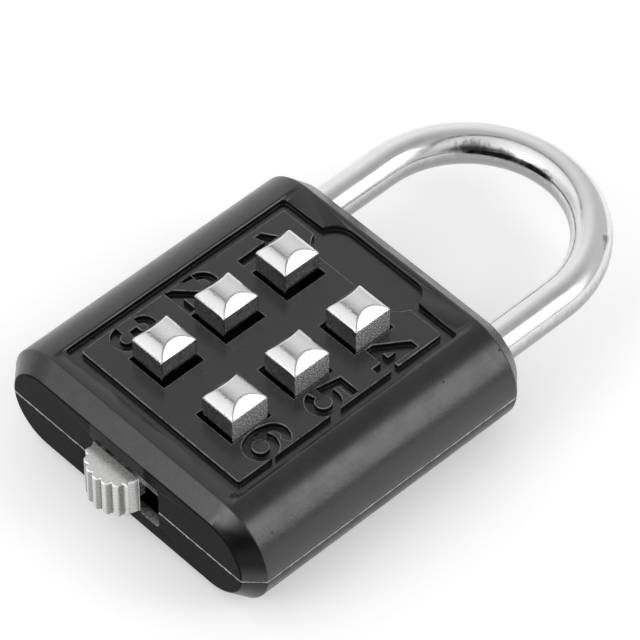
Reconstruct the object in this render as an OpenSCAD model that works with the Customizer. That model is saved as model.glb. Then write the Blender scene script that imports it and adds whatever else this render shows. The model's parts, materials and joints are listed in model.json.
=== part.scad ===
// Push-button combination padlock: a two-part cast body, six sprung buttons,
// a code slide moved by a knurled knob, and a sprung shackle.
//
// Frame: +X to the right and +Y towards the shackle, as the front is seen;
// +Z out of the front. The origin is the centre of the flat back.

/* [Body] */
// Width of the body across its rounded sides
body_w = 50; // [49.6:0.2:58]
// Length of the body, from the knob's end to the shackle's end
body_l = 51; // [51:0.5:60]
// Thickness of the body, which also rounds its sides
body_t = 17.4; // [17:0.1:18.4]
// Size of the 45 degree chamfer round both ends
end_chamfer = 2.5; // [1:0.1:3]
// Radius that softens both edges of the chamfer
edge_r = 0.5; // [0.2:0.1:1]
// How far the parting plane lies behind the middle of the thickness
parting_drop = 0.4; // [0:0.05:0.6]
// Thickness of the front wall behind the face
front_wall = 3; // [2.4:0.1:3.2]
// Thickness of the back wall
back_wall = 2.2; // [1.8:0.1:2.6]
// Thickness of the end wall that the shackle goes through
shackle_end_wall = 3; // [2:0.1:4]
// Thickness of the end wall that the knob goes through
knob_end_wall = 1.6; // [1.2:0.1:2.4]
// Thickness of the wall between a shackle bore and the cavity
bore_wall = 1.2; // [0.8:0.1:1.6]
// Width of the two rails that the code slide runs on
rail_w = 1; // [0.6:0.1:1.4]

/* [Panel] */
// Width of the sunk panel on the face
panel_w = 34.2; // [32.4:0.1:34.8]
// Length of the sunk panel
panel_l = 40.3; // [39:0.1:40.8]
// How far the panel's middle lies from the body's middle, towards the knob
panel_shift = 0.7; // [0:0.1:1]
// Radius of the panel's corners
panel_r = 0.8; // [0.4:0.1:2]
// Width of the groove round the raised field
groove_w = 1.6; // [1:0.1:2]
// Depth of the groove, the digits and the bare pad
groove_depth = 0.9; // [0.4:0.05:1.1]
// Width of the bare pad at the shackle's end of the panel
pad_w = 19; // [14:0.5:24]
// Length of the bare pad, which is round at both sides
pad_l = 6.5; // [5:0.1:6.5]
// How far the bare pad stands out of the panel
pad_rise = 2.55; // [1.5:0.05:2.7]

/* [Digits] */
// Height of a digit
digit_h = 7.2; // [6:0.1:8]
// Width of a digit
digit_w = 5.1; // [4.4:0.1:5.6]
// Width of a digit's stroke
digit_stroke = 1.3; // [0.8:0.05:1.4]
// Distance from the middle to the centre of a column of digits
digit_x = 13; // [12.6:0.1:13.4]

/* [Buttons] */
// Width of a button's head
button_w = 6; // [5:0.1:6.2]
// Length of a button's head
button_l = 6.4; // [5:0.1:6.6]
// Height of the head's corners above the face
button_rise = 3.85; // [2.5:0.05:5]
// Height of the crowned top above the head's corners
crown_h = 1.2; // [0.6:0.1:1.6]
// Width of the two slopes at the sides of the crowned top
crown_slope = 1.7; // [1:0.1:2.2]
// Distance from the middle to the centre of a column of buttons
button_x = 6.9; // [6.8:0.05:7.1]
// Distance between the rows of buttons
row_pitch = 11.2; // [10.8:0.1:11.8]
// How far a button can be pressed
button_travel = 2; // [1.2:0.1:2.2]
// Width of a button's window in the face
window_w = 7; // [6.8:0.1:7.3]
// Length of a button's window in the face
window_l = 7.2; // [7:0.1:7.6]
// How far a window is set in from its button's centre
window_inset = 0.3; // [0:0.05:0.35]
// How far a button's flange reaches under the edge of its window
flange_lip = 0.4; // [0.3:0.05:0.5]
// Thickness of a button's flange
flange_t = 1.2; // [0.8:0.1:1.4]
// Which buttons are in the code, from button 1 to button 6
in_code = [true, false, true, false, true, false];

/* [Code pins] */
// Width of a code pin's square shank
code_pin_w = 3; // [2.4:0.1:3.2]
// Length of a code pin's square shank
code_pin_l = 6.2; // [5.6:0.1:6.8]
// Depth of the two notches in a code pin
notch_depth = 0.5; // [0.3:0.05:0.7]
// Depth of the pocket in the back case that a code pin sinks into
pocket_depth = 0.6; // [0.4:0.05:0.8]
// Diameter of a code pin's round ends
spigot_d = 2.2; // [1.6:0.1:2.3]
// Length of the spigot that stands in the button
spigot_top = 4; // [2:0.1:5]
// Length of the spigot that stands in the spring
spigot_foot = 2.2; // [1:0.1:2.4]

/* [Code slide] */
// How far the knob and the code slide travel
slide_travel = 3.2; // [2.6:0.1:3.2]
// Thickness of the code slide
slide_t = 1.6; // [1.2:0.1:1.9]
// Width of the bolt that enters the shackle's catch
bolt_w = 2.2; // [1.6:0.1:2.6]
// How far the bolt enters the shackle
bolt_engagement = 0.8; // [0.5:0.05:0.8]
// Thickness of the slide's upright flange behind the knob
slide_flange_t = 1.6; // [1:0.1:2]
// Height of the slide's upright flange above the slide's underside
slide_flange_h = 5; // [4.6:0.1:5.6]
// Radius of the posts that guide the slide
post_r = 2.2; // [1.9:0.05:2.3]
// Distance of the post between the first two rows from their middle
post_step = 2.7; // [2.4:0.05:2.7]

/* [Knob] */
// Radius of the knob over its ribs
knob_r = 4.95; // [4.2:0.05:5.2]
// Height of the knob
knob_h = 6.6; // [5.4:0.1:7]
// How far the knob stands out of the end face
knob_reach = 4.2; // [3:0.1:4.8]
// Radius of one rib
rib_r = 0.55; // [0.3:0.05:0.7]
// How far the ribs stand out
rib_rise = 0.4; // [0.2:0.05:0.45]
// Number of ribs round the full circle
rib_count = 18; // [12:1:20]
// Height of the slot in the end face
slot_h = 7.8; // [7:0.1:8.4]
// Radius of the slot's corners
slot_r = 0.8; // [0.2:0.1:2]
// Width of the neck behind the knob
neck_w = 7.2; // [6.4:0.1:7.6]
// Height of the neck behind the knob
neck_h = 5.3; // [4.8:0.1:5.6]

/* [Shackle] */
// Diameter of the shackle's rod
rod_d = 6; // [5:0.1:6.2]
// Distance between the two legs, centre to centre
leg_spacing = 34.2; // [33.4:0.1:34.8]
// Straight length of each leg outside the body
leg_straight = 12.85; // [4:0.05:40]
// Height of the shackle's centre above the parting plane
shackle_rise = 1.2; // [0.8:0.1:1.4]
// How far the shackle rises when it is released
shackle_lift = 11.5; // [11.4:0.1:12]
// Length of the toe's end below its catch
toe_tip = 2.2; // [1.8:0.1:2.2]
// Chamfer at the end of the toe
toe_chamfer = 0.6; // [0.3:0.05:0.8]
// Length of the heel's end below its neck
heel_tip = 3; // [2:0.1:4]
// Radius of the heel's neck
neck_r = 2; // [1.6:0.05:2.2]
// Wall between the heel's bore and the head of the corner rivet
bore_floor = 1.1; // [0.8:0.1:1.6]
// Distance of the stop pin from the shackle's end of the body
stop_pin_depth = 11.8; // [11.4:0.1:13]
// Diameter of the stop pin
stop_pin_d = 2; // [1.6:0.1:2.2]
// Length of the stop pin
stop_pin_l = 10; // [9:0.1:10.4]

/* [Springs] */
// Wire of a button spring
button_wire = 0.45; // [0.3:0.05:0.5]
// Coils of a button spring
button_coils = 4.5; // [3:0.5:5]
// Wire of the slide spring
slide_wire = 0.5; // [0.3:0.05:0.55]
// Coils of the slide spring
slide_coils = 8; // [6:0.5:9]
// Outside diameter of the slide spring
slide_spring_d = 3.4; // [3:0.1:3.6]
// Wire of the shackle spring
shackle_wire = 0.8; // [0.5:0.05:0.9]
// Coils of the shackle spring
shackle_coils = 8; // [6:0.5:9]

/* [Rivets] */
// Radius of a case rivet's shank
rivet_r = 1.2; // [0.8:0.05:1.3]
// Radius of a case rivet's head
rivet_head_r = 2.1; // [1.8:0.05:2.2]
// Thickness of a case rivet's head
rivet_head_t = 1; // [0.6:0.05:1.2]
// Distance from the middle to a corner rivet
corner_rivet_x = 14.9; // [14.8:0.05:15.2]
// Distance of a corner rivet from the knob's end of the body
corner_rivet_y = 6.3; // [5.6:0.1:6.4]
// Radius of a knob rivet's shank
knob_rivet_r = 0.8; // [0.6:0.05:0.9]
// Radius of a knob rivet's head
knob_rivet_head_r = 1.1; // [1:0.05:1.2]
// Distance between the two knob rivets
knob_rivet_pitch = 4; // [3:0.1:4.4]

/* [Fits] */
// Radial clearance of the shackle in its bores
rod_clearance = 0.08; // [0.04:0.01:0.1]
// Clearance between sliding pieces
slide_clearance = 0.1; // [0.08:0.01:0.14]
// Clearance of a piece beside its guide or wall
side_clearance = 0.2; // [0.15:0.01:0.25]
// Clearance of a rivet or pin in its hole
seat_clearance = 0.02; // [0.01:0.01:0.04]

/* [Hidden] */
$fn = 64;
eps = 0.01;
far = 200;
rows = [1, 0, -1];
edge_steps = 4;
digit_steps = 14;
digit_step = 3;

// Levels, from the back up
mid_z = body_t / 2;
parting_z = mid_z - parting_drop;
groove_z = body_t - groove_depth;
ceiling_z = body_t - front_wall;
floor_z = back_wall;
shackle_z = parting_z + shackle_rise;

// Cavity
leg_x = leg_spacing / 2;
rod_r = rod_d / 2;
bore_r = rod_r + rod_clearance;
cavity_x = leg_x - bore_r - bore_wall;
end_y = body_l / 2;
cavity_top = end_y - shackle_end_wall;
cavity_bottom = -end_y + knob_end_wall;

// Buttons
window_x = button_x - window_inset;
flange_w = window_w + 2 * (window_inset + flange_lip);
flange_l = window_l + 2 * flange_lip;
flange_z = ceiling_z - slide_clearance - flange_t;
head_z = body_t + button_rise;
crown_r = (pow(button_l / 2, 2) + pow(crown_h, 2)) / (2 * crown_h);
shoulder_z = flange_z - code_pin_l;
pocket_z = floor_z - pocket_depth;
button_spring_d = spigot_d + 2 * button_wire + 2 * side_clearance;

// Code slide
slide_z = parting_z + slide_clearance;
slide_top = slide_z + slide_t;
slide_x0 = -cavity_x + side_clearance;
slide_x1 = cavity_x - side_clearance - slide_travel;
bolt_y1 = cavity_top - 3.5 * side_clearance;
bolt_y0 = bolt_y1 - bolt_w;
bolt_tip_x = -(leg_x - rod_r + bolt_engagement);
slot_half = knob_r + slide_travel / 2 - side_clearance / 2;
knob_x = -slide_travel / 2;
flange_y1 = cavity_bottom + slide_clearance + slide_flange_t;
slide_y0 = row_y(2) - flange_l / 2 - rail_w;
slide_spring_y = (flange_y1 + slide_y0) / 2;
spring_seat_w = rail_w;
tongue_x1 = knob_x + neck_w / 2 + side_clearance;

// Shackle
bend_y = end_y + leg_straight;
lift_ratio = shackle_lift / slide_travel;
catch_play = lift_ratio * bolt_engagement + 1.5 * side_clearance;
catch_depth = bolt_engagement + side_clearance;
catch_y1 = bolt_y1 + 1.5 * side_clearance;
catch_y0 = bolt_y0 - catch_play;
toe_y = catch_y0 - toe_tip;
stop_pin_r = stop_pin_d / 2;
stop_pin_x = leg_x + neck_r + stop_pin_r + slide_clearance;
stop_pin_y = end_y - stop_pin_depth;
heel_neck_y1 = stop_pin_y + stop_pin_r + side_clearance;
heel_neck_y0 = stop_pin_y - stop_pin_r - side_clearance - shackle_lift;
heel_y = heel_neck_y0 - heel_tip;
heel_bore_y = -end_y + corner_rivet_y + rivet_head_r + bore_floor;
shackle_spring_d = rod_d - 2 * slide_clearance;

// Rivets
post_y = panel_y(0) + row_pitch / 2;
top_post_y = cavity_top - post_r - 8.5 * side_clearance;
rivet_top = ceiling_z - 4 * side_clearance;
rivet_places = [
    [0, top_post_y],
    [0, post_y],
    [-corner_rivet_x, -end_y + corner_rivet_y],
    [corner_rivet_x, -end_y + corner_rivet_y]
];

// ---------- Places ----------

// Distance along the face from the panel's middle
function panel_y(y) = y - panel_shift;

// Middle of a row of buttons: row 0 is next to the shackle
function row_y(row) = panel_y(rows[row] * row_pitch);

// Side of button i: -1 for buttons 1 to 3, 1 for buttons 4 to 6
function side(i) = i <= 3 ? -1 : 1;

// Row of button i
function row(i) = (i - 1) % 3;

// Unit vector at an angle in the plane
function dir(a) = [cos(a), sin(a)];

// ---------- Flat shapes ----------

// Rectangle with round corners, centred
module round_rect(w, l, r) {
    square([w - 2 * r, l], center = true);
    square([w, l - 2 * r], center = true);
    for (x = [-1, 1], y = [-1, 1])
        translate([x * (w / 2 - r), y * (l / 2 - r)]) circle(r);
}

// Bar with round ends from point a to point b
module bar(a, b, w) {
    run = b - a;
    translate(a) rotate(atan2(run.y, run.x)) {
        translate([0, -w / 2]) square([norm(run), w]);
        circle(d = w);
        translate([norm(run), 0]) circle(d = w);
    }
}

// Sector that covers the angles a0 to a1
module sector(r, a0, a1) {
    steps = ceil((a1 - a0) / 45);
    reach = r / cos(45 / 2);
    polygon(concat([[0, 0]], [for (k = [0:steps]) reach * dir(a0 + (a1 - a0) * k / steps)]));
}

// Curved stroke of a digit, on a circle of radius r
module arc(centre, r, a0, a1) {
    translate(centre) intersection() {
        difference() {
            circle(r + digit_stroke / 2);
            circle(r - digit_stroke / 2);
        }
        sector(r + digit_stroke, a0, a1);
    }
}

// Points on a turn about a centre, from angle a0 to angle a1
function turn_line(centre, r, a0, a1) =
    [for (k = [0:digit_steps]) centre + r * dir(a0 + (a1 - a0) * k / digit_steps)];

// ---------- Digits ----------

// Each digit is centred, with its outline given as shares of its half size
half_h = digit_h / 2;
half_w = digit_w / 2;

module digit_1() {
    flag = [-0.6 * half_w, half_h - 1.1 * digit_stroke];
    polygon([
        [0, -half_h], [digit_stroke, -half_h], [digit_stroke, half_h], [digit_stroke / 2, half_h],
        flag, flag - [0, 0.9 * digit_stroke], [0, flag.y - 0.5 * digit_stroke]
    ]);
}

module digit_2() {
    r = 0.7 * half_w;
    turn = -40;
    centre = [0, half_h - r - digit_stroke / 2];
    foot = digit_stroke - half_h;
    polygon(concat(
        turn_line(centre, r + digit_stroke / 2, 177, turn),
        [[0, foot], [half_w, foot], [half_w, -half_h], [-half_w, -half_h]],
        [[-0.8 * half_w, foot], [-0.6 * half_w, -0.5 * half_h]],
        turn_line(centre, r - digit_stroke / 2, turn, 177)
    ));
}

module digit_3() {
    upper_r = 0.45 * (half_h - digit_stroke / 2);
    lower_r = half_h - digit_stroke / 2 - upper_r;
    waist = half_h - digit_stroke - 2 * upper_r;
    arc([0, waist + digit_stroke / 2 + upper_r], upper_r, -90, 182);
    arc([0, waist + digit_stroke / 2 - lower_r], lower_r, -182, 90);
    translate([-0.25 * half_w, waist]) square([0.3 * half_w, digit_stroke]);
}

module digit_4() {
    stem = 0.18 * half_w;
    shelf = -0.2 * half_h;
    difference() {
        union() {
            polygon([
                [-half_w, shelf - digit_stroke], [-half_w, shelf], [stem, half_h],
                [stem + digit_stroke, half_h], [stem + digit_stroke, shelf - digit_stroke]
            ]);
            translate([stem, -half_h]) square([digit_stroke, digit_h]);
            translate([stem, shelf - digit_stroke]) square([half_w + digit_stroke - stem, digit_stroke]);
        }
        polygon([[stem, shelf], [stem - 0.4 * half_w, shelf], [stem, shelf + 0.4 * half_h]]);
    }
}

module digit_5() {
    r = 0.74 * half_w;
    centre = [0.05 * half_w, r + digit_stroke / 2 - half_h];
    left = -0.58 * half_w;
    heel = [-0.9 * half_w, -0.08 * half_h];
    arc(centre, r, -165, 142);
    polygon([[left, half_h], heel, heel + [digit_stroke, 0], [left + digit_stroke, half_h]]);
    translate([left, half_h - digit_stroke]) square([0.78 * half_w - left, digit_stroke]);
}

// The back of the 6 is an arc that touches its hook and its bowl
module digit_6() {
    bowl_r = 0.73 * half_w;
    hook_r = 0.67 * half_w;
    back_r = 1.8 * half_w;
    bowl_y = bowl_r + digit_stroke / 2 - half_h;
    hook_y = half_h - digit_stroke / 2 - hook_r;
    back_y = (pow(back_r - bowl_r, 2) - pow(back_r - hook_r, 2) + pow(hook_y, 2) - pow(bowl_y, 2))
        / (2 * (hook_y - bowl_y));
    back_x = sqrt(pow(back_r - hook_r, 2) - pow(hook_y - back_y, 2));
    hook_turn = atan2(hook_y - back_y, -back_x);
    bowl_turn = 360 + atan2(bowl_y - back_y, -back_x);
    back = [back_x, back_y];
    hook = [0, hook_y];
    arc([0, bowl_y], bowl_r, 0, 360);
    polygon(concat(
        turn_line(hook, hook_r + digit_stroke / 2, 30, hook_turn),
        turn_line(back, back_r + digit_stroke / 2, hook_turn + digit_step, bowl_turn - digit_step),
        [back + (back_r + digit_stroke / 4) * dir(bowl_turn), back + (back_r - digit_stroke / 4) * dir(bowl_turn)],
        turn_line(back, back_r - digit_stroke / 2, bowl_turn - digit_step, hook_turn + digit_step),
        turn_line(hook, hook_r - digit_stroke / 2, hook_turn, 30)
    ));
}

module digit(i) {
    if (i == 1) digit_1();
    if (i == 2) digit_2();
    if (i == 3) digit_3();
    if (i == 4) digit_4();
    if (i == 5) digit_5();
    if (i == 6) digit_6();
}

// ---------- Body ----------

// Softened edge of the chamfer, which turns through 45 degrees from angle a
function soft_edge(centre, a) = [for (k = [0:edge_steps]) centre + edge_r * dir(a + 45 * k / edge_steps)];

// Outer form of the whole body: a stadium section with chamfered ends
module body_form() {
    core = body_w / 2 - mid_z;
    tangent = edge_r * tan(45 / 2);
    end = concat(
        soft_edge([mid_z - edge_r, end_y - end_chamfer - tangent], 0),
        soft_edge([mid_z - end_chamfer - tangent, end_y - edge_r], 45),
        [[0, end_y]]
    );
    half = concat(end, [for (k = [len(end) - 1:-1:0]) [end[k].x, -end[k].y]]);
    translate([0, 0, mid_z]) {
        rotate([90, 0, 90]) linear_extrude(2 * core, center = true) {
            polygon([for (p = half) [p.y, p.x]]);
            polygon([for (p = half) [p.y, -p.x]]);
        }
        for (s = [-1, 1]) translate([s * core, 0, 0])
            rotate([-90, s < 0 ? 180 : 0, 0]) rotate([0, 0, -90])
                rotate_extrude(angle = 180) polygon(half);
    }
}

// Half of the body above or below the parting plane
module front_half() {
    intersection() {
        body_form();
        translate([-far / 2, -far / 2, parting_z]) cube(far);
    }
}

module back_half() {
    intersection() {
        body_form();
        translate([-far / 2, -far / 2, parting_z - far]) cube(far);
    }
}

// Box that spans x0 to x1, y0 to y1 and z0 to z1
module span(x, y, z) {
    translate([x[0], y[0], z[0]]) cube([x[1] - x[0], y[1] - y[0], z[1] - z[0]]);
}

// Round rod along Y
module rod_y(x, y0, y1, z, r) {
    translate([x, y1, z]) rotate([90, 0, 0]) cylinder(h = y1 - y0, r = r);
}

// Everything that is cut out of both halves of the body
module body_cuts() {
    rod_y(-leg_x, toe_y - 2 * side_clearance, far, shackle_z, bore_r);
    rod_y(leg_x, heel_bore_y, far, shackle_z, bore_r);
    translate([stop_pin_x, stop_pin_y, shackle_z])
        cylinder(h = stop_pin_l + 2 * seat_clearance, r = stop_pin_r + seat_clearance, center = true);
    translate([0, cavity_bottom + eps, mid_z]) rotate([90, 0, 0])
        linear_extrude(far) round_rect(2 * slot_half, slot_h, slot_r);
    for (p = rivet_places) translate([p.x, p.y, -eps]) {
        cylinder(h = rivet_top + seat_clearance + eps, r = rivet_r + seat_clearance);
        cylinder(h = rivet_head_t + side_clearance / 4 + eps, r = rivet_head_r + seat_clearance);
    }
}

// Outline that is sunk into the face: the groove, the pad and the digits
module panel_cut() {
    difference() {
        union() {
            translate([0, panel_y(0)]) round_rect(panel_w, panel_l, panel_r);
            pad();
        }
        difference() {
            translate([0, panel_y(0)])
                round_rect(panel_w - 2 * groove_w, panel_l - 2 * groove_w, panel_r / 2);
            pad();
            for (i = [1:6]) translate([side(i) * digit_x, row_y(row(i))]) digit(i);
        }
    }
}

module pad() {
    translate([0, panel_y(panel_l / 2) + pad_rise - pad_l / 2])
        bar([-(pad_w - pad_l) / 2, 0], [(pad_w - pad_l) / 2, 0], pad_l);
}

module front_case() {
    color([0.10, 0.10, 0.10]) {
        difference() {
            front_half();
            difference() {
                span([-cavity_x, cavity_x], [cavity_bottom, cavity_top], [parting_z - eps, ceiling_z]);
                for (p = [rivet_places[0], rivet_places[1]]) translate(p) {
                    translate([0, 0, slide_top + slide_clearance]) cylinder(h = far, r = post_r + rail_w / 2);
                    cylinder(h = far, r = post_r);
                }
                span([cavity_x - spring_seat_w, far], [flange_y1, slide_y0 - side_clearance],
                     [0, ceiling_z - flange_t - button_travel - side_clearance]);
            }
            body_cuts();
            translate([0, 0, groove_z]) linear_extrude(far) panel_cut();
            for (i = [1:6]) translate([side(i) * window_x, row_y(row(i)), body_t])
                cube([window_w, window_l, 2 * front_wall + eps], center = true);
            span([bolt_tip_x - side_clearance, -cavity_x + eps],
                 [bolt_y0 - side_clearance, bolt_y1 + side_clearance],
                 [parting_z - eps, slide_top + slide_clearance]);
        }
    }
}

module back_case() {
    color([0.12, 0.12, 0.12])
        difference() {
            back_half();
            difference() {
                span([rail_w - cavity_x, cavity_x - rail_w], [cavity_bottom, cavity_top], [floor_z, far]);
                for (p = [rivet_places[0], rivet_places[1]]) translate(p)
                    cylinder(h = far, r = post_r + rail_w / 2);
            }
            body_cuts();
            for (i = [1:6]) translate([side(i) * button_x, row_y(row(i)), pocket_z])
                cylinder(h = far, r = button_spring_d / 2 + side_clearance);
        }
}

// Four flush rivets that hold the two halves together
module case_rivets() {
    color([0.16, 0.16, 0.16])
        for (p = rivet_places) translate([p.x, p.y, side_clearance / 4]) {
            cylinder(h = rivet_head_t, r = rivet_head_r);
            cylinder(h = rivet_top - side_clearance / 4, r = rivet_r);
        }
}

// ---------- Buttons ----------

// Head with a crowned top: an arch along Y, cut by a slope at each side
module button_head() {
    reach = button_w / 2;
    lean = crown_slope / crown_h;
    intersection() {
        translate([0, 0, head_z + crown_h - crown_r]) rotate([0, 90, 0])
            cylinder(h = button_w, r = crown_r, center = true);
        rotate([90, 0, 0]) linear_extrude(button_l, center = true) polygon([
            [-reach, flange_z + flange_t - eps], [reach, flange_z + flange_t - eps], [reach, head_z],
            [reach - 2 * crown_slope, head_z + 2 * crown_slope / lean],
            [2 * crown_slope - reach, head_z + 2 * crown_slope / lean], [-reach, head_z]
        ]);
    }
}

module button(i) {
    color([0.86, 0.86, 0.87])
        translate([side(i) * button_x, row_y(row(i)), 0])
            difference() {
                union() {
                    button_head();
                    translate([0, 0, flange_z + flange_t / 2])
                        cube([flange_w, flange_l, flange_t], center = true);
                }
                translate([0, 0, flange_z - eps])
                    cylinder(h = spigot_top + side_clearance + eps, r = spigot_d / 2 + seat_clearance);
            }
}

// Square pin under a button: its notches stand level with the code slide
// when the button is up, or when it is pressed if the button is in the code
module code_pin(i) {
    notch_z = slide_z - side_clearance + (in_code[i - 1] ? button_travel : 0);
    notch_h = slide_t + 2 * side_clearance;
    color([0.80, 0.68, 0.40])
        translate([side(i) * button_x, row_y(row(i)), 0]) {
            difference() {
                translate([-code_pin_w / 2, -code_pin_w / 2, shoulder_z])
                    cube([code_pin_w, code_pin_w, code_pin_l]);
                for (s = [-1, 1]) translate([0, s * (code_pin_w - notch_depth) / 2, notch_z + notch_h / 2])
                    cube([far, notch_depth + eps, notch_h], center = true);
            }
            translate([0, 0, shoulder_z + code_pin_l - eps])
                cylinder(h = spigot_top + eps, r = spigot_d / 2);
            translate([0, 0, shoulder_z - spigot_foot])
                cylinder(h = spigot_foot + eps, r = spigot_d / 2);
        }
}

// ---------- Springs ----------

coil_sides = 8;
coil_steps = 14;
closed_coils = 1;

// Height of a spring's centreline after u coils: closed at both ends
function coil_z(u, coils, wire, height) =
    let (
        closed = wire * 1.1,
        open = (height - wire - 2 * closed_coils * closed) / (coils - 2 * closed_coils)
    )
    wire / 2 + (u < closed_coils ? u * closed
        : u > coils - closed_coils ? height - wire - (coils - u) * closed
        : closed_coils * closed + (u - closed_coils) * open);

// Compression spring that stands on z = 0
module spring(d, wire, coils, height) {
    rings = ceil(coils * coil_steps);
    mean_r = (d - wire) / 2;
    points = [for (k = [0:rings], j = [0:coil_sides - 1])
        let (
            u = coils * k / rings,
            around = 360 * j / coil_sides,
            r = mean_r + wire / 2 * cos(around)
        )
        [r * cos(360 * u), r * sin(360 * u), coil_z(u, coils, wire, height) + wire / 2 * sin(around)]];
    sides = [for (k = [0:rings - 1], j = [0:coil_sides - 1])
        let (a = k * coil_sides + j, b = k * coil_sides + (j + 1) % coil_sides)
        [a, a + coil_sides, b + coil_sides, b]];
    cap = [for (j = [0:coil_sides - 1]) j];
    tail = [for (j = [coil_sides - 1:-1:0]) rings * coil_sides + j];
    polyhedron(points, concat(sides, [cap, tail]));
}

module button_spring(i) {
    color([0.7, 0.7, 0.72])
        translate([side(i) * button_x, row_y(row(i)), pocket_z + slide_clearance])
            spring(button_spring_d, button_wire, button_coils,
                   shoulder_z - pocket_z - 2 * slide_clearance);
}

module slide_spring() {
    x0 = tongue_x1 + slide_clearance;
    color([0.7, 0.7, 0.72])
        translate([x0, slide_spring_y, slide_z + slide_t / 2]) rotate([0, 90, 0])
            spring(slide_spring_d, slide_wire, slide_coils,
                   cavity_x - spring_seat_w - slide_clearance - x0);
}

module shackle_spring() {
    color([0.7, 0.7, 0.72])
        translate([leg_x, heel_bore_y + slide_clearance, shackle_z]) rotate([-90, 0, 0])
            spring(shackle_spring_d, shackle_wire, shackle_coils, heel_y - heel_bore_y - 2 * slide_clearance);
}

// ---------- Code slide and knob ----------

// Flat of the code slide, with windows for the code pins and guide slots
module slide_outline() {
    gap = code_pin_w / 2 + 1.5 * slide_clearance;
    difference() {
        union() {
            translate([slide_x0, slide_y0])
                square([slide_x1 - slide_x0, cavity_top - side_clearance - slide_y0]);
            translate([-slot_half - slide_travel - side_clearance, flange_y1 - slide_flange_t])
                square([tongue_x1 + slot_half + slide_travel + side_clearance,
                        slide_y0 - flange_y1 + slide_flange_t + eps]);
            translate([bolt_tip_x, bolt_y0]) square([slide_x0 - bolt_tip_x + eps, bolt_w]);
        }
        for (i = [1:6]) translate([side(i) * button_x - gap - slide_travel, row_y(row(i)) - gap])
            square([2 * gap + slide_travel, 2 * gap]);
        for (p = [rivet_places[0], rivet_places[1]])
            bar(p - [slide_travel, 0], p, 2 * (post_r + slide_clearance));
    }
}

module code_slide() {
    color([0.62, 0.62, 0.63])
        difference() {
            union() {
                translate([0, 0, slide_z]) linear_extrude(slide_t) slide_outline();
                span([-slot_half - slide_travel - side_clearance, slot_half + side_clearance],
                     [flange_y1 - slide_flange_t, flange_y1], [slide_z, slide_z + slide_flange_h]);
            }
            for (x = knob_rivet_x) rod_y(x, -far, far, knob_rivet_z, knob_rivet_r + seat_clearance);
        }
}

knob_rivet_x = [knob_x - knob_rivet_pitch / 2, knob_x + knob_rivet_pitch / 2];
knob_rivet_z = slide_top + slide_clearance + knob_rivet_head_r;
knob_face_y = -end_y - slide_clearance;
knob_axis_y = -end_y - knob_reach + knob_r;

// Ribbed half-round knob with a neck that goes through the slot
module release_knob() {
    neck_y1 = flange_y1 - slide_flange_t;
    neck_z0 = knob_rivet_z + knob_rivet_head_r - neck_h;
    color([0.74, 0.74, 0.75])
        difference() {
            union() {
                translate([0, 0, mid_z]) linear_extrude(knob_h, center = true)
                    intersection() {
                        translate([knob_x, knob_axis_y]) {
                            circle(knob_r - rib_rise);
                            for (k = [0:rib_count - 1]) rotate(360 * (k + 0.5) / rib_count)
                                translate([knob_r - rib_r, 0]) circle(rib_r);
                        }
                        translate([-far / 2, knob_face_y - far]) square(far);
                    }
                span([knob_x - neck_w / 2, knob_x + neck_w / 2], [knob_face_y - eps, neck_y1],
                     [neck_z0, neck_z0 + neck_h]);
            }
            for (x = knob_rivet_x)
                rod_y(x, knob_face_y, far, knob_rivet_z, knob_rivet_r + seat_clearance);
        }
}

module knob_rivets() {
    color([0.55, 0.55, 0.56])
        for (x = knob_rivet_x) {
            rod_y(x, knob_face_y + seat_clearance, flange_y1 + eps, knob_rivet_z, knob_rivet_r);
            rod_y(x, flange_y1, flange_y1 + knob_rivet_r, knob_rivet_z, knob_rivet_head_r);
        }
}

// ---------- Shackle ----------

// Round leg that runs down from the bend, from its half outline of radius and depth
module leg(x, outline) {
    translate([x, bend_y, shackle_z]) rotate([90, 0, 0]) rotate_extrude() polygon(outline);
}

// The toe leg on the left has the catch for the slide's bolt, and the heel
// leg on the right has a neck that the stop pin runs along
module shackle() {
    toe_l = bend_y - toe_y;
    heel_l = bend_y - heel_y;
    color([0.86, 0.86, 0.87]) {
        translate([0, bend_y, shackle_z]) rotate_extrude(angle = 180)
            translate([leg_x, 0]) circle(rod_r);
        difference() {
            leg(-leg_x, [
                [0, 0], [rod_r, 0], [rod_r, toe_l - toe_chamfer], [rod_r - toe_chamfer, toe_l], [0, toe_l]
            ]);
            span([-leg_x + rod_r - catch_depth, 0], [catch_y0, catch_y1], [0, far]);
        }
        leg(leg_x, [
            [0, 0], [rod_r, 0], [rod_r, bend_y - heel_neck_y1], [neck_r, bend_y - heel_neck_y1],
            [neck_r, bend_y - heel_neck_y0], [rod_r, bend_y - heel_neck_y0], [rod_r, heel_l], [0, heel_l]
        ]);
    }
}

module shackle_stop_pin() {
    color([0.6, 0.6, 0.62])
        translate([stop_pin_x, stop_pin_y, shackle_z])
            cylinder(h = stop_pin_l, r = stop_pin_r, center = true);
}

front_case();
back_case();
case_rivets();
release_knob();
knob_rivets();
code_slide();
slide_spring();
shackle();
shackle_spring();
shackle_stop_pin();
for (i = [1:6]) button(i);
for (i = [1:6]) code_pin(i);
for (i = [1:6]) button_spring(i);
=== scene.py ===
"""A push-button padlock with a steel shackle, modelled and finished piece by piece."""

import json
import logging
import math
from dataclasses import dataclass
from enum import Enum
from typing import Any

import bmesh
import bpy
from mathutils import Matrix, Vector, geometry

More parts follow.
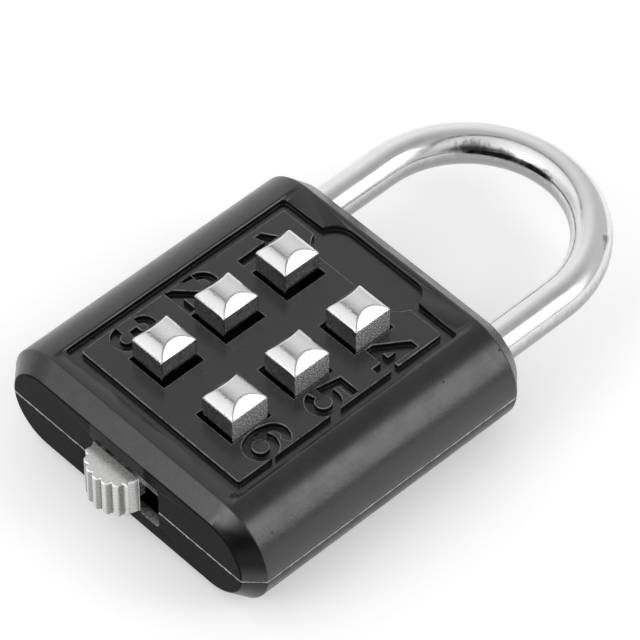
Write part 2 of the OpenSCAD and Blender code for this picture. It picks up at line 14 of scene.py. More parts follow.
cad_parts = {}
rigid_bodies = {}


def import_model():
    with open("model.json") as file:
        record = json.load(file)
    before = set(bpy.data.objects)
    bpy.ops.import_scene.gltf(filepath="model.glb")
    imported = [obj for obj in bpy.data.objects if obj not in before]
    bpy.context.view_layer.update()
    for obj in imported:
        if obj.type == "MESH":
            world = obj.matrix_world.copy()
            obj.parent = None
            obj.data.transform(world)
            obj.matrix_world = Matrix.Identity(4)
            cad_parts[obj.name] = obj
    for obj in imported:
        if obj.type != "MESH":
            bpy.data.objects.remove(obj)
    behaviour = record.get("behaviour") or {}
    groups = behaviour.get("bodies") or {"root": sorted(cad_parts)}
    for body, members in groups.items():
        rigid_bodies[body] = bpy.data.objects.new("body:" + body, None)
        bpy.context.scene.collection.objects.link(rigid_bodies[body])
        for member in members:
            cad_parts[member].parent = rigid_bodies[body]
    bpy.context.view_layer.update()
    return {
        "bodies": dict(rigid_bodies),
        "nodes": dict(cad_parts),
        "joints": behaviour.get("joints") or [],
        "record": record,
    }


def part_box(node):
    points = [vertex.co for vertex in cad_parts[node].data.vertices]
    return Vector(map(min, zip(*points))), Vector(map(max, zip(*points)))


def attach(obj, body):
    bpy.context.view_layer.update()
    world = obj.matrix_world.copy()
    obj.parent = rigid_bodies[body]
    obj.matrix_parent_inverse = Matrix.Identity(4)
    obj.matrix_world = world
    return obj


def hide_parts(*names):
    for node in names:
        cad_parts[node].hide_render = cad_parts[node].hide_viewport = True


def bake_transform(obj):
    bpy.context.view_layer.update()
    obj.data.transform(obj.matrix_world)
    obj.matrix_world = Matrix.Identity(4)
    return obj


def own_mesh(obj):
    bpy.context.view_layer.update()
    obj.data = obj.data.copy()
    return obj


LOG = logging.getLogger("padlock")

MM = 0.001
TINY = 0.001 * MM
PARTING_Z = 8.3 * MM
SIDE_X = 22.0 * MM
END_Y = 25.5 * MM
BUTTONS = range(1, 7)
HALF = 0.5
BRIGHTEST = 0.95
ROUND_STEPS = 3
FLAT_WEIGHT = 80

Frame = dict[str, Any]
Colour = tuple[float, float, float]
Point = tuple[float, float, float]
Box = tuple[Point, Point]
Socket = bpy.types.NodeSocket
Corner = bmesh.types.BMVert


class Slot(Enum):
    """Names of the finish slots in the part's record."""

    PAINT = "black_paint"
    ZINC = "knob_zinc"
    WIRE = "spring_wire"
    SHACKLE = "shackle_chrome"
    BUTTON = "button_chrome"


class Side(Enum):
    """Which half of the case a shell is."""

    FRONT = "front_case"
    BACK = "back_case"


class Axis(Enum):
    """The frame's axes, by their place in a vector."""

    X = 0
    Y = 1
    Z = 2


class End(Enum):
    """The ends of a box along an axis, by their place in it."""

    LOW = 0
    HIGH = 1


# ---------- Node trees ----------


class Term:
    """An output of a node, with which sums are written as they are on plain numbers."""

    def __init__(self, tree: "NodeTree", socket: Socket) -> None:
        """Holds the socket and its tree."""
        self.tree = tree
        self.socket = socket

    def __add__(self, other: Any) -> "Term":
        """The two together."""
        return self.tree.maths("ADD", self, other)

    def __radd__(self, other: float) -> "Term":
        """The two together."""
        return self + other

    def __sub__(self, other: Any) -> "Term":
        """This without the other."""
        return self.tree.maths("SUBTRACT", self, other)

    def __rsub__(self, other: float) -> "Term":
        """The other without this."""
        return self.tree.maths("SUBTRACT", other, self)

    def __mul__(self, other: Any) -> "Term":
        """This as many times as the other."""
        return self.tree.maths("MULTIPLY", self, other)

    def __truediv__(self, other: Any) -> "Term":
        """This by the other."""
        return self.tree.maths("DIVIDE", self, other)

    def __rtruediv__(self, other: float) -> "Term":
        """The other by this."""
        return self.tree.maths("DIVIDE", other, self)

    def __mod__(self, other: Any) -> "Term":
        """What is left of this after whole shares of the other."""
        return self.tree.maths("FLOORED_MODULO", self, other)

    def __abs__(self) -> "Term":
        """This without its sign."""
        return self.tree.maths("ABSOLUTE", self)

    def __gt__(self, other: Any) -> "Term":
        """1 where this is greater, otherwise 0."""
        return self.tree.maths("GREATER_THAN", self, other)

    def __lt__(self, other: Any) -> "Term":
        """1 where this is less, otherwise 0."""
        return self.tree.maths("LESS_THAN", self, other)


@dataclass(frozen=True)
class Ramp:
    """A smooth step from one range of values to another, held at its ends."""

    low: float
    high: float
    to_low: float = 0.0
    to_high: float = 1.0

    def times(self, factor: float) -> "Ramp":
        """The same step between values that are so many times as great."""
        return Ramp(self.low, self.high, factor * self.to_low, factor * self.to_high)


@dataclass(frozen=True)
class Noise:
    """A noise pattern: the size of its largest features, its octaves and their strength, and its stretch."""

    size: float
    detail: float = 2.0
    roughness: float = 0.5
    stretch: Point | None = None


class NodeTree:
    """A node tree, with short ways to add nodes."""

    def __init__(self, tree: bpy.types.NodeTree) -> None:
        """Takes a tree over, and empties it."""
        self.tree = tree
        tree.nodes.clear()

    def feed(self, target: Socket, value: Any) -> None:
        """Links an input to a term or a socket, or sets it to a value.

        Args:
            target: The input.
            value: Term, socket or value.
        """
        if isinstance(value, Term):
            value = value.socket
        if isinstance(value, Socket):
            self.tree.links.new(value, target)
        else:
            target.default_value = value

    def node(self, kind: str, inputs: dict[str | int, Any] | None = None, **settings: Any) -> bpy.types.Node:
        """Adds a node.

        Args:
            kind: Blender's name of the node type.
            inputs: Terms, sockets or values by input name or number.
            **settings: The node's own properties.

        Returns:
            The node.
        """
        node = self.tree.nodes.new(kind)
        for name, value in settings.items():
            setattr(node, name, value)
        for name, value in (inputs or {}).items():
            self.feed(node.inputs[name], value)
        return node

    def term(
        self, kind: str, inputs: dict[str | int, Any] | None = None, output: str | int = 0, **settings: Any
    ) -> Term:
        """Adds a node, and gives one of its outputs.

        Args:
            kind: Blender's name of the node type.
            inputs: Terms, sockets or values by input name or number.
            output: The output's name or number.
            **settings: The node's own properties.

        Returns:
            The output.
        """
        return Term(self, self.node(kind, inputs, **settings).outputs[output])

    def maths(self, operation: str, a: Any, b: Any = 0.0) -> Term:
        """One sum.

        Args:
            operation: Blender's name of the sum.
            a: First term or number.
            b: Second term or number.

        Returns:
            The result.
        """
        return self.term("ShaderNodeMath", {0: a, 1: b}, operation=operation)

    def greatest(self, first: Term, *others: Any) -> Term:
        """The greatest of several terms and numbers.

        Args:
            first: First term.
            *others: Other terms or numbers.

        Returns:
            The greatest at each place.
        """
        for other in others:
            first = self.maths("MAXIMUM", first, other)
        return first

    def axes(self, vector: Any) -> tuple[Term, ...]:
        """The X, Y and Z of a vector."""
        return tuple(Term(self, output) for output in self.node("ShaderNodeSeparateXYZ", {0: vector}).outputs)

    def remap(self, source: Term, ramp: Ramp) -> Term:
        """A term taken from one range to another.

        Args:
            source: The term.
            ramp: The two ranges.

        Returns:
            The new term.
        """
        ends = {"From Min": ramp.low, "From Max": ramp.high, "To Min": ramp.to_low, "To Max": ramp.to_high}
        return self.term(
            "ShaderNodeMapRange", {"Value": source, **ends}, "Result", interpolation_type="SMOOTHSTEP"
        )


class Shader(NodeTree):
    """One node material around a Principled shader, with patterns on Object coordinates."""

    def __init__(self, name: str, base: Colour, metallic: float, roughness: float) -> None:
        """Makes the material and its shader.

        Args:
            name: The material's name.
            base: Base colour, linear.
            metallic: 0 for paint, 1 for bare metal.
            roughness: Roughness of the plain surface.
        """
        self.material = bpy.data.materials.new(name)
        self.material.use_nodes = True
        super().__init__(self.material.node_tree)
        plain = {"Base Color": (*base, 1.0), "Metallic": metallic, "Roughness": roughness}
        self.shader = self.node("ShaderNodeBsdfPrincipled", plain)
        self.node("ShaderNodeOutputMaterial", {"Surface": self.shader.outputs["BSDF"]})
        self.place = self.term("ShaderNodeTexCoord", output="Object")
        self.x, self.y, self.z = self.axes(self.place)

    def set(self, name: str, value: Any) -> None:
        """Feeds one of the shader's own inputs from a term or a value."""
        self.feed(self.shader.inputs[name], value)

    def noise(self, pattern: Noise) -> Term:
        """A noise pattern.

        Args:
            pattern: Its sizes.

        Returns:
            The pattern, about 0 to 1.
        """
        place = self.place
        if pattern.stretch:
            place = self.term("ShaderNodeMapping", {"Vector": place, "Scale": pattern.stretch})
        fine = {"Detail": pattern.detail, "Roughness": pattern.roughness}
        return self.term("ShaderNodeTexNoise", {"Vector": place, "Scale": 1.0 / pattern.size, **fine}, "Fac")

    def cells(self, size: float) -> Term:
        """Distance to the nearest of scattered points, in parts of their spacing."""
        return self.term("ShaderNodeTexVoronoi", {"Vector": self.place, "Scale": 1.0 / size}, "Distance")

    def blend(self, amount: Term, first: Any, second: Any) -> Term:
        """A colour between two colours.

        Args:
            amount: 0 for the first, 1 for the second.
            first: Colour or term.
            second: Colour or term.

        Returns:
            The colour.
        """
        pair = {6: first, 7: second}
        colours = {index: one if isinstance(one, Term) else (*one, 1.0) for index, one in pair.items()}
        return self.term("ShaderNodeMix", {"Factor": amount, **colours}, 2, data_type="RGBA")

    def bump(self, height: Term, depth: float, under: Term | None = None) -> Term:
        """A relief from a pattern.

        Args:
            height: The pattern.
            depth: Height of the relief, in metres.
            under: A relief that this one lies on.

        Returns:
            The normal.
        """
        base = {} if under is None else {"Normal": under}
        sizes = {"Strength": 1.0, "Distance": depth, "Height": height}
        return self.term("ShaderNodeBump", {**sizes, **base}, "Normal")


class GeometryTree(NodeTree):
    """One Geometry Nodes tree with named inputs, which is built, evaluated and turned into a plain mesh."""

    def __init__(self, name: str) -> None:
        """Makes an empty tree that has a geometry input and output.

        Args:
            name: The tree's name.
        """
        super().__init__(bpy.data.node_groups.new(name, "GeometryNodeTree"))
        for way in ("INPUT", "OUTPUT"):
            self.tree.interface.new_socket("Geometry", in_out=way, socket_type="NodeSocketGeometry")
        self.group_in = self.node("NodeGroupInput")
        self.values: dict[str, float | int] = {}

    def size(self, name: str, value: float | int) -> Term:
        """Adds a named input.

        Args:
            name: The input's name.
            value: Its value for this piece.

        Returns:
            The input, inside the tree.
        """
        kind = "NodeSocketInt" if isinstance(value, int) else "NodeSocketFloat"
        socket = self.tree.interface.new_socket(name, in_out="INPUT", socket_type=kind)
        self.values[socket.identifier] = value
        return Term(self, self.group_in.outputs[name])

    def block(self, size: Point, middle: Vector) -> Term:
        """A box of a size, round its middle."""
        cube = self.term("GeometryNodeMeshCube", {"Size": size})
        return self.term("GeometryNodeTransform", {"Geometry": cube, "Translation": middle})

    def joined(self, *parts: Term) -> Term:
        """Several geometries as one.

        Args:
            *parts: The geometries.

        Returns:
            All of them.
        """
        node = self.node("GeometryNodeJoinGeometry")
        for part in parts:
            self.feed(node.inputs[0], part)
        return Term(self, node.outputs[0])

    def finished(self, made: Term, material: bpy.types.Material) -> bpy.types.Mesh:
        """Ends the tree in Realize Instances and Set Material, and evaluates it.

        Args:
            made: The geometry that the tree makes.
            material: The finish of all of it.

        Returns:
            The result as a plain mesh.
        """
        real = self.term("GeometryNodeRealizeInstances", {0: made})
        dressed = self.term("GeometryNodeSetMaterial", {"Geometry": real, "Material": material})
        self.node("NodeGroupOutput", {0: dressed})
        blank = bpy.data.meshes.new(self.tree.name)
        carrier = place(blank, self.tree.name)
        modifier = carrier.modifiers.new("make", "NODES")
        modifier.node_group = self.tree
        for identifier, value in self.values.items():
            modifier[identifier] = value
        carrier.update_tag()
        mesh = evaluated(carrier, whole=False)
        bpy.data.objects.remove(carrier)
        bpy.data.meshes.remove(blank)
        return mesh


# ---------- Shared making ----------


def place(mesh: bpy.types.Mesh, name: str) -> bpy.types.Object:
    """Puts a mesh in the scene as an object at the origin.

    Args:
        mesh: The mesh.
        name: Name of the object and its mesh.

    Returns:
        The object.
    """
    mesh.name = name
    piece = bpy.data.objects.new(name, mesh)
    bpy.context.scene.collection.objects.link(piece)
    return piece


def smooth(mesh: bpy.types.Mesh, angle: float) -> None:
    """Shades a mesh smoothly, apart from edges sharper than an angle in degrees."""
    mesh.polygons.foreach_set("use_smooth", [True] * len(mesh.polygons))
    mesh.set_sharp_from_angle(angle=math.radians(angle))


def evaluated(piece: bpy.types.Object, whole: bool) -> bpy.types.Mesh:
    """What a piece's modifiers make of its mesh.

    Args:
        piece: The piece.
        whole: Whether the new mesh keeps every data layer.

    Returns:
        The new mesh.
    """
    graph = bpy.context.evaluated_depsgraph_get()
    graph.update()
    made = piece.evaluated_get(graph)
    return bpy.data.meshes.new_from_object(made, preserve_all_data_layers=whole, depsgraph=graph)


def evened(piece: bpy.types.Object, keep_sharp: bool = True) -> None:
    """Weights a piece's normals by face area, so that flat faces look flat, and applies its modifiers.

    Args:
        piece: The piece.
        keep_sharp: Whether its sharp edges stay sharp.
    """
    normals = piece.modifiers.new("normals", "WEIGHTED_NORMAL")
    normals.weight = FLAT_WEIGHT
    normals.keep_sharp = keep_sharp
    old, piece.data = piece.data, evaluated(piece, whole=True)
    piece.modifiers.clear()
    bpy.data.meshes.remove(old)


def rounded(piece: bpy.types.Object, width: float, angle: float) -> None:
    """Rounds the edges of a piece that are sharper than an angle.

    Args:
        piece: The piece.
        width: Width of the rounding, in metres.
        angle: Least angle of a rounded edge, in degrees.
    """
    bevel = piece.modifiers.new("round", "BEVEL")
    bevel.width = width
    bevel.segments = ROUND_STEPS
    bevel.limit_method = "ANGLE"
    bevel.angle_limit = math.radians(angle)
    bevel.use_clamp_overlap = False
    bevel.miter_outer = "MITER_SHARP"
    evened(piece, keep_sharp=False)


def joined_copy(frame: Frame, node: str) -> bpy.types.Mesh:
    """A copy of a CAD node's triangles, merged at their corners.

    Args:
        frame: The loaded frame.
        node: The node's name.

    Returns:
        The new mesh.
    """
    mesh = frame["nodes"][node].data.copy()
    mesh.materials.clear()
    work = bmesh.new()
    work.from_mesh(mesh)
    bmesh.ops.remove_doubles(work, verts=work.verts, dist=TINY / 10)
    work.to_mesh(mesh)
    work.free()
    return mesh


def dress_node(frame: Frame, node: str, material: bpy.types.Material) -> bpy.types.Object:
    """Gives a carried-over CAD node its finish through its object's own slots.

    Args:
        frame: The loaded frame.
        node: The node's name.
        material: The finish.

    Returns:
        The node's object.
    """
    carried = frame["nodes"][node]
    for holder in carried.material_slots:
        holder.link = "OBJECT"
        holder.material = material
    return carried


def shaded(colour: Colour, share: float) -> Colour:
    """A colour made darker or brighter, but never quite white."""
    return tuple(min(BRIGHTEST, share * level) for level in colour)


# ---------- Finishes ----------


@dataclass(frozen=True)
class BlackPaint:
    """Semi-gloss black paint on cast zinc, which is bare along the parting line and in the knob's slot, with
    a painted reflection above the knob and painted shade where its gloss is cut.
    """

    name: str = "paint_black"
    base: Colour = (0.0055, 0.0055, 0.006)
    zinc: Colour = (0.42, 0.42, 0.41)
    dust: Colour = (0.1, 0.1, 0.1)
    # Painted reflection: a lighter grey for the end face above the knob, standing for the knob's top seen in
    # it.
    painted_sheen: Colour = (0.03, 0.03, 0.03)
    ior: float = 1.65
    roughness: float = 0.25
    bare_roughness: float = 0.5
    chip_metallic: float = 0.7
    mottle: Noise = Noise(6.0 * MM, 3.0)
    mottle_shares: tuple[float, float] = (0.8, 1.25)
    speck_gap: float = 1.1 * MM
    specks: Ramp = Ramp(0.03, 0.07, 1.0, 0.0)
    dusty: Noise = Noise(3.0 * MM)
    dust_cover: Ramp = Ramp(0.52, 0.62, 0.0, 0.6)
    satin: Noise = Noise(3.0 * MM, 4.0, 0.6)
    satin_range: Ramp = Ramp(0.3, 0.7, 0.21, 0.31)
    chip_z: float = PARTING_Z - 0.04 * MM
    chip: Noise = Noise(1.1 * MM, 4.0, 0.8)
    chip_width: Ramp = Ramp(0.38, 0.64, 0.02 * MM, 0.1615 * MM)
    chip_edge: Ramp = Ramp(0.8, 1.6, 1.0, 0.0)
    worn: Noise = Noise(0.45 * MM, 4.0, 0.75)
    worn_cover: Ramp = Ramp(0.34, 0.56, 0.15, 1.0)
    slot_box: Box = ((-6.6 * MM, -25.45 * MM, 4.7 * MM), (6.6 * MM, -23.7 * MM, 12.7 * MM))
    # Where the painted reflection of the knob's top lies on the end face.
    knob_reflection_box: Box = ((-6.9 * MM, -25.6 * MM, 12.3 * MM), (3.7 * MM, -25.4 * MM, 15.4 * MM))
    gloss: float = 0.5
    end_y: float = 25.38 * MM
    end_gloss: float = 0.02
    sunk_box: Box = ((-17.4 * MM, -22.4 * MM, 12.0 * MM), (17.4 * MM, 22.6 * MM, 17.26 * MM))
    sunk_floor: float = 16.5 * MM
    floor_margin: float = 0.03 * MM
    wall_gloss: float = 0.06
    lip_z: float = PARTING_Z + 0.16 * MM
    lip_half: float = 0.07 * MM
    lip_gloss: float = 0.08
    back_z: float = PARTING_Z - 0.15 * MM
    back_gloss: float = 0.16
    corner_box: Box = ((17.0 * MM, -25.38 * MM, 8.3 * MM), (26.0 * MM, -22.95 * MM, 16.2 * MM))
    corner_gloss: float = 0.1
    corner_top: Ramp = Ramp(14.8 * MM, 16.0 * MM, 1.0, 0.0)
    corner_foot: Ramp = Ramp(9.0 * MM, 11.5 * MM, 0.35, 1.0)
    peel: Noise = Noise(1.6 * MM)
    peel_depth: float = 0.006 * MM
    streak: Noise = Noise(0.35 * MM, 3.0, 0.7, (1.0, 1.0, 0.25))
    streak_depth: float = 0.03 * MM
    grain: Noise = Noise(0.3 * MM)
    grain_depth: float = 0.005 * MM
    pit_gap: float = 2.3 * MM
    pits: Ramp = Ramp(0.02, 0.1, 1.0, 0.0)
    pit_depth: float = 0.05 * MM

    def inside(self, paint: Shader, box: Box) -> Term:
        """Where the surface lies inside a box.

        Args:
            paint: The material being built.
            box: The box's lowest and highest corners.

        Returns:
            A mask, 1 inside the box.
        """
        inside: Any = 1.0
        for axis, low, high in zip((paint.x, paint.y, paint.z), *box):
            inside = (axis > low) * (axis < high) * inside
        return inside

    def colour(self, paint: Shader) -> Term:
        """Colour of the whole paint, mottled and dusty, with a painted reflection of the knob's top on the
        end face above the knob.

        Args:
            paint: The material being built.

        Returns:
            The colour.
        """
        dark, light = (shaded(self.base, share) for share in self.mottle_shares)
        tone = paint.blend(paint.noise(self.mottle), dark, light)
        dusty = paint.remap(paint.noise(self.dusty), self.dust_cover)
        tone = paint.blend(paint.remap(paint.cells(self.speck_gap), self.specks) * dusty, tone, self.dust)
        # Painted reflection: the end face above the knob is lightened where the knob's top would show in it.
        return paint.blend(self.inside(paint, self.knob_reflection_box), tone, self.painted_sheen)

    def chips(self, paint: Shader) -> Term:
        """Where the paint is chipped off along the parting line.

        Args:
            paint: The material being built.

        Returns:
            A mask, 1 on bare metal.
        """
        width = paint.remap(paint.noise(self.chip), self.chip_width)
        return paint.remap(abs(paint.z - self.chip_z) / width, self.chip_edge)

    def dulled(self, paint: Shader) -> Term:
        """How much gloss is cut on the ends, the sunk walls, the seam's lip, the back and one corner; the
        cuts on the ends, the sunk walls, the lip and the corner paint shade there.

        Args:
            paint: The material being built.

        Returns:
            The loss.
        """
        # Painted shade: lower gloss darkens the end faces, the walls of the sunk panel, a thin line above the
        # seam and the front right corner.
        end = (abs(paint.y) > self.end_y) * (self.gloss - self.end_gloss)
        wall = (abs(paint.z - self.sunk_floor) > self.floor_margin) * (self.gloss - self.wall_gloss)
        sunk = self.inside(paint, self.sunk_box) * wall
        lip = (abs(paint.z - self.lip_z) < self.lip_half) * (self.gloss - self.lip_gloss)
        back = (paint.z < self.back_z) * (self.gloss - self.back_gloss)
        corner = self.inside(paint, self.corner_box) * (self.gloss - self.corner_gloss)
        corner = corner * paint.remap(paint.z, self.corner_top) * paint.remap(paint.z, self.corner_foot)
        return paint.greatest(end, sunk, lip, back, corner)

    def relief(self, paint: Shader) -> Term:
        """The paint's own relief, with streaks down the sides, grain and pits.

        Args:
            paint: The material being built.

        Returns:
            The normal.
        """
        peel = paint.bump(paint.noise(self.peel), self.peel_depth)
        peel = paint.bump((abs(paint.x) > SIDE_X) * paint.noise(self.streak), self.streak_depth, peel)
        peel = paint.bump(paint.noise(self.grain), self.grain_depth, peel)
        return paint.bump(paint.remap(paint.cells(self.pit_gap), self.pits), self.pit_depth, peel)

    def build(self) -> bpy.types.Material:
        """Makes the material.

        Returns:
            The material.
        """
        paint = Shader(self.name, self.base, 0.0, self.roughness)
        chips = self.chips(paint)
        slot = self.inside(paint, self.slot_box) * paint.remap(paint.noise(self.worn), self.worn_cover)
        bare = paint.greatest(chips, slot)
        satin = paint.remap(paint.noise(self.satin), self.satin_range)
        paint.set("Base Color", paint.blend(bare, self.colour(paint), self.zinc))
        paint.set("Metallic", chips * self.chip_metallic)
        paint.set("Roughness", paint.greatest(satin, bare * self.bare_roughness))
        paint.set("IOR", self.ior)
        paint.set("Specular IOR Level", self.gloss - self.dulled(paint))
        paint.set("Normal", self.relief(paint))
        return paint.material


@dataclass(frozen=True)
class RimHighlightPaint:
    """Painted highlight along the rims of the grooves, the digits and the windows: a patchy grey on their
    rounded rims.
    """

    name: str = "paint_worn_edge"
    # Painted highlight: both grey colours are far lighter than the black paint.
    thin: Colour = (0.2, 0.2, 0.195)
    whole: Colour = (0.05, 0.05, 0.05)
    roughness: float = 0.35
    sheen_patches: Noise = Noise(1.2 * MM, 3.0, 0.6)
    painted_sheen: Ramp = Ramp(0.3, 0.6)
    grain: Noise = Noise(0.3 * MM)
    grain_depth: float = 0.005 * MM

    def build(self) -> bpy.types.Material:
        """Makes the material.

        Returns:
            The material.
        """
        paint = Shader(self.name, self.thin, 0.0, self.roughness)
        # Painted highlight: the pattern blends the fainter and the brighter grey.
        painted_sheen = paint.remap(paint.noise(self.sheen_patches), self.painted_sheen)
        paint.set("Base Color", paint.blend(painted_sheen, self.whole, self.thin))
        paint.set("Normal", paint.bump(paint.noise(self.grain), self.grain_depth))
        return paint.material


@dataclass(frozen=True)
class DarkPatch:
    """A dark, streaky patch on the plating round a point; on the shackle some lie on the bend and one is
    painted shade under the rod.
    """

    centre: Point
    half: Point
    strength: float
    torn: float


@dataclass(frozen=True)
class Chrome:
    """Polished plating with faint handling marks, a slightly uneven surface and perhaps dark patches."""

    name: str
    base: Colour
    roughness: float
    wave: float
    wave_depth: float
    dark_patches: tuple[DarkPatch, ...] = ()
    patch_tone: Colour = (0.05, 0.05, 0.05)
    patch_grain: Noise = Noise(0.9 * MM, 3.0, 0.55)
    patch_tear: Ramp = Ramp(0.3, 0.7, -1.0, 1.0)
    patch_edge: Ramp = Ramp(0.0, 1.3, 1.0, 0.0)
    smudge: Noise = Noise(1.6 * MM, 4.0, 0.65)
    smudged: Ramp = Ramp(0.35, 0.7, 0.7, 1.7)
    haze: Noise = Noise(3.0 * MM)
    haze_share: float = 0.92

    def patch_darkness(self, metal: Shader, dark_patch: DarkPatch) -> Term:
        """How dark one patch makes each place.

        Args:
            metal: The material being built.
            dark_patch: The stain.

        Returns:
            A mask, the patch's strength at its heart and 0 outside it.
        """
        spread: Any = 0.0
        for axis, middle, half in zip((metal.x, metal.y, metal.z), dark_patch.centre, dark_patch.half):
            away = (axis - middle) / half
            spread = away * away + spread
        torn = metal.remap(metal.noise(self.patch_grain), self.patch_tear.times(dark_patch.torn))
        return metal.remap(spread + torn, self.patch_edge.times(dark_patch.strength))

    def build(self) -> bpy.types.Material:
        """Makes the material.

        Returns:
            The material.
        """
        metal = Shader(self.name, self.base, 1.0, self.roughness)
        tone = metal.blend(metal.noise(self.haze), shaded(self.base, self.haze_share), self.base)
        if self.dark_patches:
            dark = metal.greatest(*(self.patch_darkness(metal, dark_patch) for dark_patch in self.dark_patches))
            tone = metal.blend(dark, tone, self.patch_tone)
        metal.set("Base Color", tone)
        metal.set("Roughness", metal.remap(metal.noise(self.smudge), self.smudged.times(self.roughness)))
        metal.set("Normal", metal.bump(metal.noise(Noise(self.wave)), self.wave_depth))
        return metal.material


@dataclass(frozen=True)
class CastMetal:
    """Castings, plated, blasted or left rough, with bright and dark grains."""

    name: str
    base: Colour
    roughness: float
    grain: float
    grain_depth: float
    spark: float
    metallic: float = 1.0
    grain_step: Ramp = Ramp(0.35, 0.65)
    grain_detail: tuple[float, float] = (3.0, 0.7)
    patches: Noise = Noise(0.5 * MM, 3.0, 0.6)
    patchy: Ramp = Ramp(0.3, 0.7, 0.75, 1.3)

    def tone(self, metal: Shader, grain: Term) -> Term:
        """Colour of the grains, from dark to bright.

        Args:
            metal: The material being built.
            grain: The grain's pattern.

        Returns:
            The colour.
        """
        dark, bright = shaded(self.base, 1 - self.spark), shaded(self.base, 1 + self.spark)
        return metal.blend(metal.remap(grain, self.grain_step), dark, bright)

    def build(self) -> bpy.types.Material:
        """Makes the material.

        Returns:
            The material.
        """
        metal = Shader(self.name, self.base, self.metallic, self.roughness)
        grain = metal.noise(Noise(self.grain, *self.grain_detail))
        metal.set("Base Color", self.tone(metal, grain))
        metal.set("Roughness", metal.remap(metal.noise(self.patches), self.patchy.times(self.roughness)))
        metal.set("Normal", metal.bump(grain, self.grain_depth))
        return metal.material


@dataclass(frozen=True)
class Ribbing:
    """The ribs round the knob, and where they stop: near the body, and sooner on the side of +X."""

    count: int = 18
    stop: float = -0.342
    stop_right: float = 0.2

    def where(self, tree: NodeTree, angle: Term) -> Term:
        """Where the knob is ribbed.

        Args:
            tree: The tree being built.
            angle: Angle round the knob's axis, from +X.

        Returns:
            A mask, 1 where it is ribbed.
        """
        right = tree.greatest(tree.maths("COSINE", angle), 0.0)
        return tree.maths("SINE", angle) + right * self.stop_right < self.stop


@dataclass(frozen=True)
class FlutedMetal(CastMetal):
    """A casting with ribs round it, with a painted highlight along their rim, and painted shade between them
    and on one side of each rib.
    """

    axis: tuple[float, float] = (0.0, 0.0)
    ribbing: Ribbing = Ribbing()
    # Painted highlight: a near-white band round the top rim, between these heights.
    rim_z: tuple[float, float] = (11.7 * MM, 11.97 * MM)
    rim_highlight_tone: Colour = (BRIGHTEST, BRIGHTEST, BRIGHTEST)
    # Painted shade: darker between the ribs and on each rib's side away from the light.
    valley_shade: Ramp = Ramp(0.34, 0.46)
    far_side_shade: Ramp = Ramp(0.56, 0.74, 0.0, 0.72)
    grained: Ramp = Ramp(0.3, 0.7, 1.0, 0.7)
    shade_share: float = 0.2

    def tone(self, metal: Shader, grain: Term) -> Term:
        """Colour of the grains, with painted shade between the ribs and on one side of them, and a painted
        highlight on the rim.

        Args:
            metal: The material being built.
            grain: The grain's pattern.

        Returns:
            The colour.
        """
        angle = metal.maths("ARCTAN2", metal.y - self.axis[1], metal.x - self.axis[0])
        share = angle * (self.ribbing.count / (2 * math.pi)) % 1.0
        # Painted shade in the valleys and on each rib's far side.
        painted_shade = metal.greatest(metal.remap(share, self.far_side_shade), metal.remap(abs(share - HALF), self.valley_shade))
        painted_shade = painted_shade * self.ribbing.where(metal, angle) * (metal.z < self.rim_z[0])
        # Painted highlight along the top rim.
        rim = (metal.z > self.rim_z[0]) * (metal.z < self.rim_z[1])
        tone = metal.blend(rim, super().tone(metal, grain), self.rim_highlight_tone)
        return metal.blend(painted_shade * metal.remap(grain, self.grained), tone, shaded(self.base, self.shade_share))


@dataclass(frozen=True)
class DrawnMetal:
    """Wire, pins and plate with fine lines along one axis and a light oil film."""

    name: str
    base: Colour
    roughness: float
    line: float
    stretch: Point = (1.0, 1.0, 0.08)
    line_detail: tuple[float, float] = (2.0, 0.6)
    line_depth: float = 0.004 * MM
    lined: Ramp = Ramp(0.3, 0.7, 0.75, 1.35)
    film: Noise = Noise(1.8 * MM, 3.0)
    film_shares: tuple[float, float] = (0.8, 1.15)

    def build(self) -> bpy.types.Material:
        """Makes the material.

        Returns:
            The material.
        """
        metal = Shader(self.name, self.base, 1.0, self.roughness)
        lines = metal.noise(Noise(self.line, *self.line_detail, self.stretch))
        dark, light = (shaded(self.base, share) for share in self.film_shares)
        metal.set("Base Color", metal.blend(metal.noise(self.film), dark, light))
        metal.set("Roughness", metal.remap(lines, self.lined.times(self.roughness)))
        metal.set("Normal", metal.bump(lines, self.line_depth))
        return metal.material


# ---------- Pieces ----------


